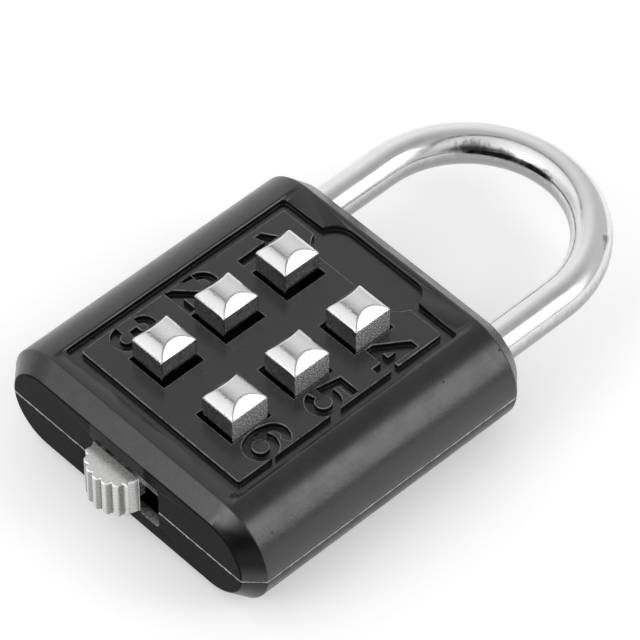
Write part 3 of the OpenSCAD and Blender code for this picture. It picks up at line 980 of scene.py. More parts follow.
@dataclass
class FlatRims:
    """Rounds the rims of one flat region of a shell, which faces up or down, where square walls meet it.

    The least cosine of a face in the region is same_way, and the greatest of a square wall is square.
    The other two shares keep the way into the region short at a sharp corner.
    """

    normal: Vector
    level: float
    radius: float
    inner: bool = False
    slot: int = 0
    steps: int = 3
    same_way: float = 0.9999
    square: float = 0.02
    doubled_back: float = 0.1
    least_share: float = 0.5
    smallest: float = 1e-9

    def _region(self, work: bmesh.types.BMesh) -> list[bmesh.types.BMFace]:
        """Finds the faces that lie in the region.

        Args:
            work: The shell.

        Returns:
            The faces, in the shell's order.
        """
        return [
            face
            for face in work.faces
            if face.normal.dot(self.normal) > self.same_way
            and abs(face.verts[0].co.dot(self.normal) - self.level) < TINY
        ]

    def _outlines(self, region: list[bmesh.types.BMFace]) -> list[tuple[list[Corner], bool]]:
        """Follows the region's outlines with the region on their left.

        Args:
            region: Its faces.

        Returns:
            Each outline's corners, and whether all of its walls are square.
        """
        after: dict[Corner, Corner] = {}
        square: dict[Corner, bool] = {}
        known = set(region)
        for face in region:
            for loop in face.loops:
                others = [other for other in loop.edge.link_faces if other is not face]
                if others and others[0] in known:
                    continue
                after[loop.vert] = loop.link_loop_next.vert
                square[loop.vert] = bool(others) and abs(others[0].normal.dot(self.normal)) < self.square
        outlines = []
        while after:
            start, corner = next(iter(after.items()))
            del after[start]
            outline = [start]
            while corner is not start:
                outline.append(corner)
                corner = after.pop(corner)
            outlines.append((outline, all(square[v] for v in outline)))
        return outlines

    def _inward(self, before: Vector, corner: Vector, after: Vector) -> Vector:
        """Way from a corner into the region that keeps a unit's distance to both of its edges.

        Args:
            before: The corner before it.
            corner: The corner.
            after: The corner after it.

        Returns:
            The way, in space.
        """
        first = self.normal.cross((corner - before).normalized())
        second = self.normal.cross((after - corner).normalized())
        middle = first + second
        if middle.length < self.doubled_back:
            return first
        middle.normalize()
        return middle / max(middle.dot(first), self.least_share)

    def _round(self, work: bmesh.types.BMesh, outline: list[Corner]) -> list[Corner]:
        """Rounds one outline.

        Args:
            work: The shell.
            outline: Its corners.

        Returns:
            The corners of the flat region that is left.
        """
        count = len(outline)
        spots = [v.co.copy() for v in outline]
        ways = [self._inward(spots[k - 1], spots[k], spots[(k + 1) % count]) for k in range(count)]
        sink = self.radius if self.inner else -self.radius
        for corner in outline:
            corner.co += self.normal * sink
        ring = outline
        for step in range(1, self.steps + 1):
            angle = math.pi / 2 * step / self.steps
            lift = self.normal * (sink * (1 - math.sin(angle)))
            reach = self.radius * (1 - math.cos(angle))
            inner = [work.verts.new(spots[k] + ways[k] * reach + lift) for k in range(count)]
            for k in range(count):
                n = (k + 1) % count
                work.faces.new((ring[k], ring[n], inner[n], inner[k])).material_index = self.slot
            ring = inner
        return ring

    def _within(self, spot: Vector, sides: list[tuple[Vector, Vector]]) -> bool:
        """Whether a point of the plane lies inside the outlines.

        Args:
            spot: The point.
            sides: Both ends of each of the outlines' sides.

        Returns:
            Whether a line from it along the plane's first axis crosses them an odd number of times.
        """
        crossings = 0
        for p, q in sides:
            if (p.y > spot.y) != (q.y > spot.y):
                crossings += spot.x < p.x + (spot.y - p.y) * (q.x - p.x) / (q.y - p.y)
        return crossings % 2 == 1

    def _fill(self, work: bmesh.types.BMesh, rings: list[list[Corner]]) -> None:
        """Fills the flat region between its outlines.

        Args:
            work: The shell.
            rings: The corners of each outline.
        """
        across = Vector((1.0, 0.0, 0.0))
        along = self.normal.cross(across)
        corners = [corner for ring in rings for corner in ring]
        flat = [Vector((corner.co.dot(across), corner.co.dot(along))) for corner in corners]
        edges: list[tuple[int, int]] = []
        for ring in rings:
            base = len(edges)
            edges += [(base + k, base + (k + 1) % len(ring)) for k in range(len(ring))]
        sides = [(flat[a], flat[b]) for a, b in edges]
        found, _, faces, sources, _, _ = geometry.delaunay_2d_cdt(flat, edges, [], 0, self.smallest)
        made = []
        for spot, source in zip(found, sources):
            if source:
                made.append(corners[source[0]])
            else:
                made.append(work.verts.new(across * spot.x + along * spot.y + self.normal * self.level))
        for face in faces:
            points = [found[k] for k in face]
            if not self._within(sum(points, Vector((0.0, 0.0))) / len(points), sides):
                continue
            turn = (points[1] - points[0]).cross(points[2] - points[0])
            order = face if turn > 0 else list(reversed(face))
            if len({made[k] for k in order}) == len(order):
                work.faces.new([made[k] for k in order])

    def apply(self, work: bmesh.types.BMesh) -> None:
        """Rounds the region's rims, and fills what is left of it.

        Args:
            work: The shell.
        """
        region = self._region(work)
        outlines = self._outlines(region)
        bmesh.ops.delete(work, geom=region, context="FACES_ONLY")
        self._fill(work, [self._round(work, outline) if square else outline for outline, square in outlines])


@dataclass
class Case:
    """The two painted halves of the body, with softened edges."""

    finish: BlackPaint = BlackPaint()
    edge_finish: RimHighlightPaint = RimHighlightPaint()
    edge_slot: int = 1
    rim: float = 0.13 * MM
    fillet: float = 0.05 * MM
    groove: float = 0.9 * MM
    seam: float = 0.1 * MM
    seam_steps: int = 2
    end_reach: float = 2.6 * MM
    square: float = 0.2
    level: float = 0.99
    smooth_to: float = 38.0

    def _worn(self, edge: bmesh.types.BMEdge) -> bool:
        """Tells which edges of a half are worn.

        Args:
            edge: The edge.

        Returns:
            Whether it is on the parting line's outside, or on the rim of a hole in an end.
        """
        if len(edge.link_faces) != 2:
            return False
        one, two = (face.normal for face in edge.link_faces)
        if abs(one.dot(two)) > self.square:
            return False
        spots = [v.co for v in edge.verts]
        seam = all(abs(p.z - PARTING_Z) < TINY for p in spots)
        outside = all(abs(p.y) > END_Y - self.end_reach or abs(p.x) > SIDE_X for p in spots)
        end = all(abs(abs(p.y) - END_Y) < TINY for p in spots)
        return (seam and outside and max(abs(one.z), abs(two.z)) > self.level) or end

    def shell(self, frame: Frame, side: Side) -> bpy.types.Mesh:
        """Makes one half from its CAD node, with its rims rounded.

        Args:
            frame: The loaded frame.
            side: Which half.

        Returns:
            The mesh.
        """
        mesh = joined_copy(frame, side.value)
        work = bmesh.new()
        work.from_mesh(mesh)
        up = Vector((0.0, 0.0, 1.0))
        if side is Side.FRONT:
            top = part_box(side.value)[1].z
            # The top's rounded rims take the slot of the painted highlight.
            FlatRims(up, top, self.rim, slot=self.edge_slot).apply(work)
            FlatRims(up, top - self.groove, self.fillet, inner=True).apply(work)
        else:
            FlatRims(-up, 0.0, self.rim).apply(work)
        work.normal_update()
        bmesh.ops.bevel(
            work,
            geom=[edge for edge in work.edges if self._worn(edge)],
            offset=self.seam,
            segments=self.seam_steps,
            profile=HALF,
            affect="EDGES",
            clamp_overlap=False,
        )
        bmesh.ops.recalc_face_normals(work, faces=work.faces)
        work.to_mesh(mesh)
        work.free()
        return mesh

    def build(self, frame: Frame) -> list[bpy.types.Object]:
        """Makes, dresses and mounts both halves.

        Args:
            frame: The loaded frame.

        Returns:
            The halves.
        """
        paint, edge = self.finish.build(), self.edge_finish.build()
        pieces = []
        for side in Side:
            piece = place(self.shell(frame, side), f"{side.value}_shell")
            smooth(piece.data, self.smooth_to)
            evened(piece)
            for material in (paint, edge):
                piece.data.materials.append(material)
            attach(piece, "case")
            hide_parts(side.value)
            pieces.append(piece)
        return pieces


class Wall(Enum):
    """The faces of a button, by their finish's slot."""

    TOP = 0
    PLAIN = 1
    RIGHT = 2


@dataclass
class PushButton:
    """One chromed button: a crowned head on a flange, bored from below for its code pin."""

    number: int
    top: Chrome = Chrome("chrome_button_top", (0.76, 0.76, 0.76), 0.12, 0.28 * MM, 0.018 * MM)
    smooth_side: CastMetal = CastMetal(
        "chrome_button_side", (0.42, 0.42, 0.43), 0.13, 0.25 * MM, 0.02 * MM, 0.55
    )
    rough_side: CastMetal = CastMetal(
        "chrome_button_grain", (0.7, 0.7, 0.7), 0.26, 0.22 * MM, 0.16 * MM, 0.8, 0.65
    )
    first_grainy: int = 4
    half_w: float = 3.0 * MM
    half_l: float = 3.2 * MM
    crown: float = 1.2 * MM
    slope: float = 1.7 * MM
    far_slope: float = 1.2 * MM
    flange_t: float = 1.2 * MM
    bore_r: float = 1.12 * MM
    bore_share: float = 0.52
    blend: float = 0.1 * MM
    edge: float = 0.22 * MM
    edge_angle: float = 44.0
    rim_cell: float = 1.6
    cells: int = 40

    def crown_z(self, x: float, y: float) -> float:
        """Height of the head's top above its corners, at a place on it.

        Args:
            x: Place across the head.
            y: Place along the head.

        Returns:
            The height, in metres.
        """
        radius = (self.half_l**2 + self.crown**2) / (2 * self.crown)
        barrel = self.crown - radius + math.sqrt(max(radius**2 - y**2, 0.0))
        ramp = min((self.half_w - x) / self.slope, (self.half_w + x) / self.far_slope) * self.crown
        gap = max(self.blend - abs(barrel - ramp), 0.0) / self.blend
        return max(min(barrel, ramp) - gap * gap * self.blend / 4, 0.0)

    def _line(self, half: float) -> list[float]:
        """Places of the grid lines across the head, with a wider first and last cell for the rounded rim."""
        first = half - self.rim_cell * self.edge
        return [-half, *(first * (2 * k / self.cells - 1) for k in range(self.cells + 1)), half]

    def _rim(self, grid: list[list[Corner]]) -> list[Corner]:
        """Goes round a grid.

        Args:
            grid: Its corners, by column and row.

        Returns:
            The corners of its outline, in order.
        """
        wide, long = len(grid), len(grid[0])
        rim = [grid[i][0] for i in range(wide)] + [grid[-1][j] for j in range(1, long)]
        rim += [grid[i][-1] for i in range(wide - 2, -1, -1)] + [grid[0][j] for j in range(long - 2, 0, -1)]
        return rim

    def _rings(
        self, work: bmesh.types.BMesh, rim: list[Corner], low: Vector, high: Vector
    ) -> list[list[Corner]]:
        """Makes the corners of the head's walls, the flange and the bore, below the rim.

        Args:
            work: The button.
            rim: The corners round the head's top.
            low: The CAD button's lowest corner.
            high: Its highest corner.

        Returns:
            The rings, from the rim to the bore's end.
        """
        grow_x, grow_y = (high.x - low.x) / 2 / self.half_w, (high.y - low.y) / 2 / self.half_l
        flange_z = low.z + self.flange_t
        rings = [rim]
        for z, wide, long in ((flange_z, 1.0, 1.0), (flange_z, grow_x, grow_y), (low.z, grow_x, grow_y)):
            rings.append([work.verts.new((v.co.x * wide, v.co.y * long, z)) for v in rim])
        angles = [math.atan2(v.co.y / self.half_l, v.co.x / self.half_w) for v in rim]
        round_bore = [(self.bore_r * math.cos(angle), self.bore_r * math.sin(angle)) for angle in angles]
        for z in (low.z, low.z + (high.z - self.crown - low.z) * self.bore_share):
            rings.append([work.verts.new((*spot, z)) for spot in round_bore])
        return rings

    def mesh(self) -> bpy.types.Mesh:
        """Makes the button's closed mesh.

        Returns:
            The mesh, with its walls' slots as Wall has them.
        """
        low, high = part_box(f"button_{self.number}")
        centre = (low + high) / 2
        work = bmesh.new()
        xs, ys = self._line(self.half_w), self._line(self.half_l)
        rim_z = high.z - self.crown
        grid = [[work.verts.new((x, y, rim_z + self.crown_z(x, y))) for y in ys] for x in xs]
        for near, far in zip(grid, grid[1:]):
            for j in range(len(ys) - 1):
                work.faces.new((near[j], far[j], far[j + 1], near[j + 1]))
        rings = self._rings(work, self._rim(grid), low, high)
        right = range(len(xs) - 1, len(xs) + len(ys) - 2)
        for upper, lower in zip(rings, rings[1:]):
            for k in range(len(upper)):
                n = (k + 1) % len(upper)
                wall = Wall.RIGHT if k in right else Wall.PLAIN
                work.faces.new((upper[n], upper[k], lower[k], lower[n])).material_index = wall.value
        work.faces.new(list(reversed(rings[-1]))).material_index = Wall.PLAIN.value
        bmesh.ops.translate(work, vec=Vector((centre.x, centre.y, 0.0)), verts=work.verts)
        bmesh.ops.recalc_face_normals(work, faces=work.faces)
        mesh = bpy.data.meshes.new(f"cap_{self.number}")
        work.to_mesh(mesh)
        work.free()
        mesh.polygons.foreach_set("use_smooth", [True] * len(mesh.polygons))
        return mesh

    def build(self, finishes: tuple[bpy.types.Material, ...]) -> bpy.types.Object:
        """Makes, dresses and mounts the button.

        Args:
            finishes: Finishes of its top, its plain walls and its grainy wall.

        Returns:
            The finished piece.
        """
        piece = place(self.mesh(), f"cap_{self.number}")
        top, plain, grainy = finishes
        for material in (top, plain, grainy if self.number >= self.first_grainy else plain):
            piece.data.materials.append(material)
        rounded(piece, self.edge, self.edge_angle)
        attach(piece, f"button_{self.number}")
        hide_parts(f"button_{self.number}")
        return piece


@dataclass
class Shackle:
    """The bent steel rod, with a catch notch at its toe and a neck at its heel."""

    finish: Chrome = Chrome(
        "chrome_shackle",
        (0.8, 0.8, 0.81),
        0.15,
        5.0 * MM,
        0.004 * MM,
        (
            # Dark streaky patches on the top of the bend.
            DarkPatch((-9.9 * MM, 49.0 * MM, 11.2 * MM), (2.8 * MM, 2.8 * MM, 0.9 * MM), 0.67, 0.4),
            DarkPatch((-5.6 * MM, 51.5 * MM, 10.9 * MM), (3.2 * MM, 1.5 * MM, 0.8 * MM), 0.6, 0.4),
            DarkPatch((-1.3 * MM, 52.7 * MM, 11.1 * MM), (3.4 * MM, 1.3 * MM, 0.7 * MM), 0.62, 0.4),
            DarkPatch((15.6 * MM, 49.9 * MM, 11.6 * MM), (1.3 * MM, 1.8 * MM, 0.5 * MM), 0.6, 0.5),
            # Painted shade: this wide patch darkens the lower half of the rod.
            DarkPatch((0.0, 0.02, 8.5 * MM), (10.0, 10.0, 2.3 * MM), 0.56, 0.12),
        ),
    )
    rod_r: float = 3.0 * MM
    chamfer: float = 0.6 * MM
    catch: tuple[float, float] = (16.425 * MM, 22.1 * MM)
    catch_depth: float = 1.0 * MM
    toe_tip: float = 2.2 * MM
    neck: tuple[float, float] = (1.0 * MM, 14.9 * MM)
    neck_r: float = 2.0 * MM
    rings: int = 360
    sides: int = 72
    smooth_to: float = 34.0

    def path(self, tree: GeometryTree, lane: Term, bend: Term, toe: Term, heel: Term) -> Term:
        """The rod's middle line, from its toe round the bend to its heel.

        Args:
            tree: The tree being built.
            lane: Distance of the legs from the plane between them.
            bend: Where the bend starts, along Y.
            toe: Where the toe ends.
            heel: Where the heel ends.

        Returns:
            The curve.
        """
        count = tree.size("Rings", self.rings)
        height = tree.size("Rod height", sum(end.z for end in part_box("shackle")) / 2)
        leg, arc = bend - toe, lane * math.pi
        past = tree.term("GeometryNodeInputIndex") * ((leg + arc + (bend - heel)) / (count - 1.0)) - leg
        angle = tree.term("ShaderNodeClamp", {"Value": past / lane, "Min": 0.0, "Max": math.pi})
        x = tree.maths("COSINE", angle) * lane * -1.0
        straight = tree.greatest(past * -1.0, 0.0) + tree.greatest(past - arc, 0.0)
        y = bend + tree.maths("SINE", angle) * lane - straight
        spot = tree.term("ShaderNodeCombineXYZ", {0: x, 1: y, 2: height})
        line = tree.term("GeometryNodeMeshLine", {"Count": count}, mode="OFFSET")
        path = tree.term("GeometryNodeSetPosition", {"Geometry": line, "Position": spot})
        return tree.term("GeometryNodeMeshToCurve", {"Mesh": path})

    def thickness(self, tree: GeometryTree, radius: Term, toe: Term) -> Term:
        """Thickness of the rod along its line, with its thin neck and its chamfered toe.

        Args:
            tree: The tree being built.
            radius: The rod's plain radius.
            toe: Where the toe ends.

        Returns:
            The thickness, in parts of the plain one.
        """
        x, y, _ = tree.axes(tree.term("GeometryNodeInputPosition"))
        right = x > 0.0
        thin = right * ((y > self.neck[0]) * (y < self.neck[1]))
        scale = 1.0 + thin * (tree.size("Neck radius", self.neck_r) / radius - 1.0)
        tip = tree.greatest(self.chamfer - (1.0 - right) * (y - toe), 0.0) * (1.0 - right)
        return scale - tip / radius

    def mesh(self, material: bpy.types.Material) -> bpy.types.Mesh:
        """Sweeps the rod along its path, thins its neck and cuts its notch.

        Args:
            material: The rod's finish.

        Returns:
            The mesh.
        """
        low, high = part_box("shackle")
        leg_x = high.x - self.rod_r
        tree = GeometryTree("shackle_rod")
        lane = tree.size("Lane", leg_x)
        bend = tree.size("Bend start", high.y - leg_x - self.rod_r)
        toe = tree.size("Toe end", self.catch[0] - self.toe_tip)
        heel = tree.size("Heel end", low.y)
        radius = tree.size("Rod radius", self.rod_r)
        sweep = {"Curve": self.path(tree, lane, bend, toe, heel), "Scale": self.thickness(tree, radius, toe)}
        ring = tree.term("GeometryNodeCurvePrimitiveCircle", {"Resolution": self.sides, "Radius": radius})
        rod = tree.term("GeometryNodeCurveToMesh", {**sweep, "Profile Curve": ring, "Fill Caps": True})
        width = self.catch_depth + self.rod_r
        middle_x = -leg_x + self.rod_r - self.catch_depth + width
        middle = Vector((middle_x, sum(self.catch) / 2, (low.z + high.z) / 2))
        cutter = tree.block((2 * width, self.catch[1] - self.catch[0], 4 * self.rod_r), middle)
        cut = tree.term("GeometryNodeMeshBoolean", {0: rod, 1: cutter}, operation="DIFFERENCE")
        return tree.finished(cut, material)

    def build(self) -> bpy.types.Object:
        """Makes, dresses and mounts the shackle.

        Returns:
            The finished piece.
        """
        piece = place(self.mesh(self.finish.build()), "shackle_rod")
        smooth(piece.data, self.smooth_to)
        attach(piece, "shackle")
        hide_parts("shackle")
        return piece


@dataclass
class Knob:
    """The ribbed zinc knob at the end of the body, with the neck that joins it to the slide."""

    finish: FlutedMetal = FlutedMetal(
        "zinc_knob", (0.7, 0.7, 0.69), 0.27, 0.1 * MM, 0.006 * MM, 0.16, 0.7, axis=(-1.6 * MM, -24.75 * MM)
    )
    radius: float = 4.95 * MM
    tall: float = 6.6 * MM
    rib_r: float = 0.68 * MM
    rib_rise: float = 0.45 * MM
    rim: float = 0.2 * MM
    flat: float = 0.93
    face_y: float = -25.6 * MM
    neck: Point = (7.2 * MM, 1.8 * MM, 4.4 * MM)
    neck_z: float = 7.0 * MM
    steps: int = 16
    arc: int = 4
    cap_rows: int = 2
    smooth_to: float = 50.0

    def _turn(self, tree: GeometryTree, row: Term, first: int) -> Term:
        """Angle of a rounded rim's row, from 0 at its first row to a quarter turn at its last.

        Args:
            tree: The tree being built.
            row: Number of the row.
            first: Number of the rim's first row.

        Returns:
            The angle.
        """
        share = (row - float(first)) / float(self.arc)
        return tree.term("ShaderNodeClamp", {"Value": share, "Min": 0.0, "Max": 1.0}) * (math.pi / 2)

    def outline(self, tree: GeometryTree, angle: Term) -> Term:
        """Distance of the knob's wall from its axis, with its ribs.

        Args:
            tree: The tree being built.
            angle: Angle round the knob's axis, from +X.

        Returns:
            The distance.
        """
        radius, rise = tree.size("Radius", self.radius), tree.size("Rib rise", self.rib_rise)
        rib_r, ribs = tree.size("Rib radius", self.rib_r), tree.size("Ribs", float(self.finish.ribbing.count))
        sector = 2 * math.pi / ribs
        swing = angle % sector - sector * HALF
        reach = radius - rib_r
        aside = reach * tree.maths("SINE", swing)
        room = rib_r * rib_r - aside * aside
        bulge = reach * tree.maths("COSINE", swing) + tree.maths("SQRT", tree.greatest(room, 0.0))
        bulge = bulge * (room > 0.0) * self.finish.ribbing.where(tree, angle)
        return tree.greatest(radius - rise, bulge)

    def mesh(self, material: bpy.types.Material) -> bpy.types.Mesh:
        """Turns a grid into the ribbed drum, cut flat at the body, and adds the neck.

        The grid's columns go round the drum. Its rows go from the middle of the drum's foot over the
        lower rim, the wall and the upper rim to the middle of its top.

        Args:
            material: The knob's finish.

        Returns:
            The mesh.
        """
        low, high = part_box("release_knob")
        centre_x, centre_y = (low.x + high.x) / 2, low.y + self.radius
        upper_row = self.cap_rows + self.arc + 1
        rows, columns = 2 * upper_row, self.finish.ribbing.count * self.steps + 1
        tree = GeometryTree("knob_ribs")
        rim, tall = tree.size("Rim", self.rim), tree.size("Height", self.tall)
        counts = {"Vertices X": columns, "Vertices Y": rows}
        grid = tree.term("GeometryNodeMeshGrid", {"Size X": 1.0, "Size Y": 1.0, **counts})
        column, line, _ = tree.axes(tree.term("GeometryNodeInputPosition"))
        angle, row = (column + HALF) * (2 * math.pi), (line + HALF) * (rows - 1.0)
        lower, upper = self._turn(tree, row, self.cap_rows), self._turn(tree, row, upper_row)
        inset = 2.0 - (tree.maths("SINE", lower) + tree.maths("COSINE", upper))
        lift = 1.0 - tree.maths("COSINE", lower) + tree.maths("SINE", upper)
        z = lift * rim + low.z + (tall - rim * 2.0) * (row > upper_row - HALF)
        out = self.outline(tree, angle) - inset * rim
        for ring, share in enumerate((0.0, self.flat)):
            cap = (row < ring + HALF) + (row > rows - 1 - ring - HALF)
            out = out * (cap * (share - 1.0) + 1.0)
        x = out * tree.maths("COSINE", angle) + centre_x
        y = tree.maths("MINIMUM", out * tree.maths("SINE", angle) + centre_y, self.face_y)
        where = tree.term("ShaderNodeCombineXYZ", {0: x, 1: y, 2: z})
        drum = tree.term("GeometryNodeSetPosition", {"Geometry": grid, "Position": where})
        drum = tree.term("GeometryNodeMergeByDistance", {"Geometry": drum, "Distance": TINY})
        middle = Vector((centre_x, self.face_y + self.neck[1] / 2, self.neck_z + self.neck[2] / 2))
        return tree.finished(tree.joined(drum, tree.block(self.neck, middle)), material)

    def build(self) -> bpy.types.Object:
        """Makes, dresses and mounts the knob.

        Returns:
            The finished piece.
        """
        piece = place(self.mesh(self.finish.build()), "knob_grip")
        smooth(piece.data, self.smooth_to)
        evened(piece)
        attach(piece, "slide")
        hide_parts("release_knob")
        return piece


@dataclass(frozen=True)
class Spring:
    """A coil spring between the case and a piece that slides."""

    node: str
    joint: str
    along: Axis
    fixed_end: End
    slider: str | None = None
    smooth_to: float = 60.0

    def build(self, frame: Frame, wire: bpy.types.Material) -> bpy.types.Object:
        """Makes the spring from its CAD node; one without a slider is mounted on the case.

        Args:
            frame: The loaded frame.
            wire: The finish of the wire.

        Returns:
            The spring's object.
        """
        mesh = joined_copy(frame, self.node)
        mesh.materials.append(wire)
        smooth(mesh, self.smooth_to)
        piece = place(mesh, f"{self.node}_coils")
        ends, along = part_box(self.node), self.along.value
        length = ends[1][along] - ends[0][along]
        fixed, free = ([(low + high) / 2 for low, high in zip(*ends)] for _ in ends)
        fixed[along] = ends[self.fixed_end.value][along]
        free[along] = ends[1 - self.fixed_end.value][along]
        if self.slider:
            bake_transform(piece)
        else:
            travel = next(joint["range_m"][1] for joint in frame["joints"] if joint["name"] == self.joint)
            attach(piece, "case")
            1 - travel / length
            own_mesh(piece)
        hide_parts(self.node)
        return piece


@dataclass
class InnerWorks:
    """What the case holds: the code slide, pins, springs and rivets, each with its finish."""

    steel: DrawnMetal = DrawnMetal("steel_slide", (0.42, 0.42, 0.43), 0.34, 0.14 * MM, (1.0, 0.1, 1.0))
    pin_steel: DrawnMetal = DrawnMetal("steel_pin", (0.5, 0.5, 0.5), 0.25, 0.1 * MM)
    wire: DrawnMetal = DrawnMetal("wire_spring", (0.4, 0.4, 0.41), 0.28, 0.1 * MM, (1.0, 1.0, 1.0))
    brass: DrawnMetal = DrawnMetal("brass_pin", (0.68, 0.5, 0.22), 0.3, 0.1 * MM, (1.0, 1.0, 8.0))
    rivet: CastMetal = CastMetal("rivet_dark", (0.09, 0.09, 0.095), 0.42, 0.25 * MM, 0.01 * MM, 0.2)

    def build(self, frame: Frame) -> list[bpy.types.Object]:
        """Makes the springs, and dresses the CAD nodes that are carried over.

        Args:
            frame: The loaded frame.

        Returns:
            All of them.
        """
        steel, pin_steel, wire = self.steel.build(), self.pin_steel.build(), self.wire.build()
        brass, rivet = self.brass.build(), self.rivet.build()
        springs = [Spring(f"button_spring_{n}", f"button_{n}_press", Axis.Z, End.LOW) for n in BUTTONS]
        springs.append(Spring("slide_spring", "knob_slide", Axis.X, End.HIGH))
        springs.append(Spring("shackle_spring", "shackle_lift", Axis.Y, End.LOW, "shackle"))
        finishes = {
            "code_slide": steel,
            "shackle_stop_pin": pin_steel,
            "knob_rivets": pin_steel,
            "case_rivets": rivet,
            **{f"code_pin_{number}": brass for number in BUTTONS},
        }
        pieces = [spring.build(frame, wire) for spring in springs]
        return pieces + [dress_node(frame, node, material) for node, material in finishes.items()]


# ---------- Studio ----------


@dataclass(frozen=True)
class Patch:
    """A soft round patch of the room that is brighter or dimmer than the rest, by its angles in degrees."""

    towards: Point
    inner: float
    outer: float
    factor: float

    def brightness(self, tree: NodeTree, way: Term) -> Term:
        """How many times as bright as the rest the room is in each direction.

        Args:
            tree: The world's tree.
            way: The direction looked in.

        Returns:
            The factor.
        """
        middle = Vector(self.towards).normalized()
        facing = tree.term("ShaderNodeVectorMath", {0: way, 1: middle}, "Value", operation="DOT_PRODUCT")
        far, near = (math.cos(math.radians(angle)) for angle in (self.outer, self.inner))
        return tree.remap(facing, Ramp(far, near, 1.0, self.factor))


@dataclass(frozen=True)
class Lamp:
    """A soft box that faces the padlock, by its direction, power in watts and size in metres."""

    name: str
    towards: Point
    power: float
    size: tuple[float, float]
    away: float = 0.9

    def build(self, target: Vector) -> None:
        """Puts the lamp in the scene, facing a target.

        Args:
            target: What it faces.
        """
        data = bpy.data.lights.new(self.name, "AREA")
        data.shape = "RECTANGLE"
        data.size, data.size_y = self.size
        data.energy = self.power
        aim(bpy.data.objects.new(self.name, data), target, Vector(self.towards), self.away)


def aim(thing: bpy.types.Object, target: Vector, towards: Vector, away: float) -> None:
    """Puts a lamp or camera in the scene, facing a target.

    Args:
        thing: The lamp or camera.
        target: What it faces.
        towards: Direction from the target to it.
        away: Its distance from the target.
    """
    thing.location = target + towards.normalized() * away
    thing.rotation_mode = "QUATERNION"
    thing.rotation_quaternion = towards.to_track_quat("Z", "Y")
    bpy.context.scene.collection.objects.link(thing)


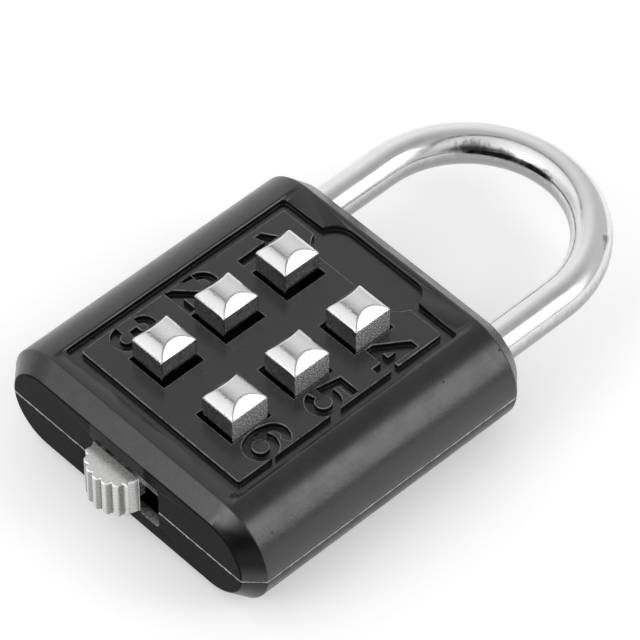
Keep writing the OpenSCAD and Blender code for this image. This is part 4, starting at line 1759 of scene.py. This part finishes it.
@dataclass
class Studio:
    """Plain pale floor, soft lamps, the room and the camera."""

    floor_half: float = 3.0
    floor_drop: float = 0.02 * MM
    floor_tone: Colour = (0.82, 0.82, 0.82)
    floor_glow: float = 0.34
    target: Point = (-2.891 * MM, 12.791 * MM, 8.9 * MM)
    towards: Point = (0.4754, -0.45, 0.756)
    distance: float = 661.19 * MM
    lens: float = 272.15
    sensor: float = 36.0
    clip: tuple[float, float] = (0.01, 20.0)
    room: float = 0.8
    overhead: Ramp = Ramp(0.3, 0.6)
    lane: tuple[tuple[float, float], ...] = (
        (-1.0, 1.3), (-0.11, 1.3), (-0.06, 0.32), (-0.01, 0.32), (0.06, 0.8), (0.42, 1.0)
    )
    patches: tuple[Patch, ...] = (
        Patch((-0.88, 0.35, 0.3), 15.0, 50.0, 1.6),
        Patch((0.12, 0.42, 0.9), 4.0, 22.0, 0.72),
        Patch((0.62, -0.78, 0.05), 14.0, 42.0, 0.08),
        Patch((0.73, 0.45, 0.51), 8.0, 29.0, 2.0),
        Patch((-0.36, -0.7, 0.62), 12.0, 42.0, 1.42),
    )
    lamps: tuple[Lamp, ...] = (
        Lamp("box_front", (-0.2, -0.85, 0.48), 1.2, (0.4, 0.4)),
        Lamp("box_right", (0.71, 0.45, 0.53), 1.4, (0.36, 0.68)),
    )

    def floor_white(self) -> bpy.types.Material:
        """Makes the floor's finish, which shows white from above and nothing from below.

        Returns:
            The material.
        """
        material = bpy.data.materials.new("floor_white")
        material.use_nodes = True
        tree = NodeTree(material.node_tree)
        ray = tree.node("ShaderNodeLightPath")
        seen = (Term(tree, ray.outputs[f"Is {kind} Ray"]) for kind in ("Camera", "Glossy", "Transmission"))
        glow = tree.term("ShaderNodeEmission", {"Strength": tree.greatest(*seen) * self.floor_glow})
        diffuse = tree.term("ShaderNodeBsdfDiffuse", {"Color": (*self.floor_tone, 1.0)})
        lit = tree.term("ShaderNodeAddShader", {0: diffuse, 1: glow})
        below = tree.term("ShaderNodeNewGeometry", output="Backfacing")
        clear = tree.term("ShaderNodeBsdfTransparent")
        surface = tree.term("ShaderNodeMixShader", {"Fac": below, 1: lit, 2: clear})
        tree.node("ShaderNodeOutputMaterial", {"Surface": surface})
        return material

    def floor(self) -> None:
        """Makes the floor, just under the padlock."""
        work = bmesh.new()
        bmesh.ops.create_grid(work, x_segments=1, y_segments=1, size=self.floor_half)
        bmesh.ops.translate(work, vec=Vector((0.0, 0.0, -self.floor_drop)), verts=work.verts)
        mesh = bpy.data.meshes.new("floor")
        work.to_mesh(mesh)
        work.free()
        piece = place(mesh, "floor")
        mesh.materials.append(self.floor_white())

    def ceiling(self, tree: NodeTree, y: Term) -> Term:
        """Brightness of the room overhead, which has a dim lane across it.

        Args:
            tree: The world's tree.
            y: The Y of the direction looked in.

        Returns:
            The brightness.
        """
        share = tree.term("ShaderNodeMapRange", {"Value": y, "From Min": -1.0}, "Result")
        ramp = tree.node("ShaderNodeValToRGB", {"Fac": share})
        stops = ramp.color_ramp.elements
        stops[0].position, stops[1].position = 0.0, 1.0
        for _ in range(len(self.lane) - 2):
            stops.new(HALF)
        for stop, (place_y, level) in zip(stops, self.lane):
            stop.position = (place_y + 1) / 2
            stop.color = (level, level, level, 1.0)
        return Term(tree, ramp.outputs["Color"])

    def world(self) -> None:
        """Makes the room: even and pale, with soft patches and a dim lane overhead."""
        world = bpy.data.worlds.new("room")
        bpy.context.scene.world = world
        world.use_nodes = True
        tree = NodeTree(world.node_tree)
        way = tree.term("ShaderNodeTexCoord", output="Generated")
        _, y, z = tree.axes(way)
        ends = {"Factor": tree.remap(z, self.overhead), "A": 1.0, "B": self.ceiling(tree, y)}
        level = tree.term("ShaderNodeMix", ends, "Result")
        for patch in self.patches:
            level = level * patch.brightness(tree, way)
        glow = tree.term("ShaderNodeBackground", {"Strength": level * self.room})
        tree.node("ShaderNodeOutputWorld", {"Surface": glow})

    def camera(self) -> None:
        """Aims the camera at the padlock."""
        data = bpy.data.cameras.new("camera")
        data.lens = self.lens
        data.sensor_width = self.sensor
        data.clip_start, data.clip_end = self.clip
        camera = bpy.data.objects.new("camera", data)
        aim(camera, Vector(self.target), Vector(self.towards).normalized(), self.distance)
        bpy.context.scene.camera = camera

    def build(self) -> None:
        """Sets up the camera, the floor, the room and the lamps."""
        bpy.context.scene.view_settings.view_transform = "Standard"
        self.camera()
        self.floor()
        self.world()
        for lamp in self.lamps:
            lamp.build(Vector(self.target))


def report(pieces: list[bpy.types.Object]) -> None:
    """Logs each piece with its number of faces."""
    for piece in pieces:
        LOG.info("%s: %d faces", piece.name, len(piece.data.polygons))


def main() -> None:
    """Builds every piece in order and reports it."""
    logging.basicConfig(level=logging.INFO, format="%(name)s: %(message)s")
    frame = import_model()
    Studio().build()
    report(Case().build(frame))
    plated = PushButton(BUTTONS[0])
    finishes = (plated.top.build(), plated.smooth_side.build(), plated.rough_side.build())
    report([PushButton(number).build(finishes) for number in BUTTONS])
    report([Shackle().build(), Knob().build()])
    report(InnerWorks().build(frame))


if __name__ == "__main__":
    main()
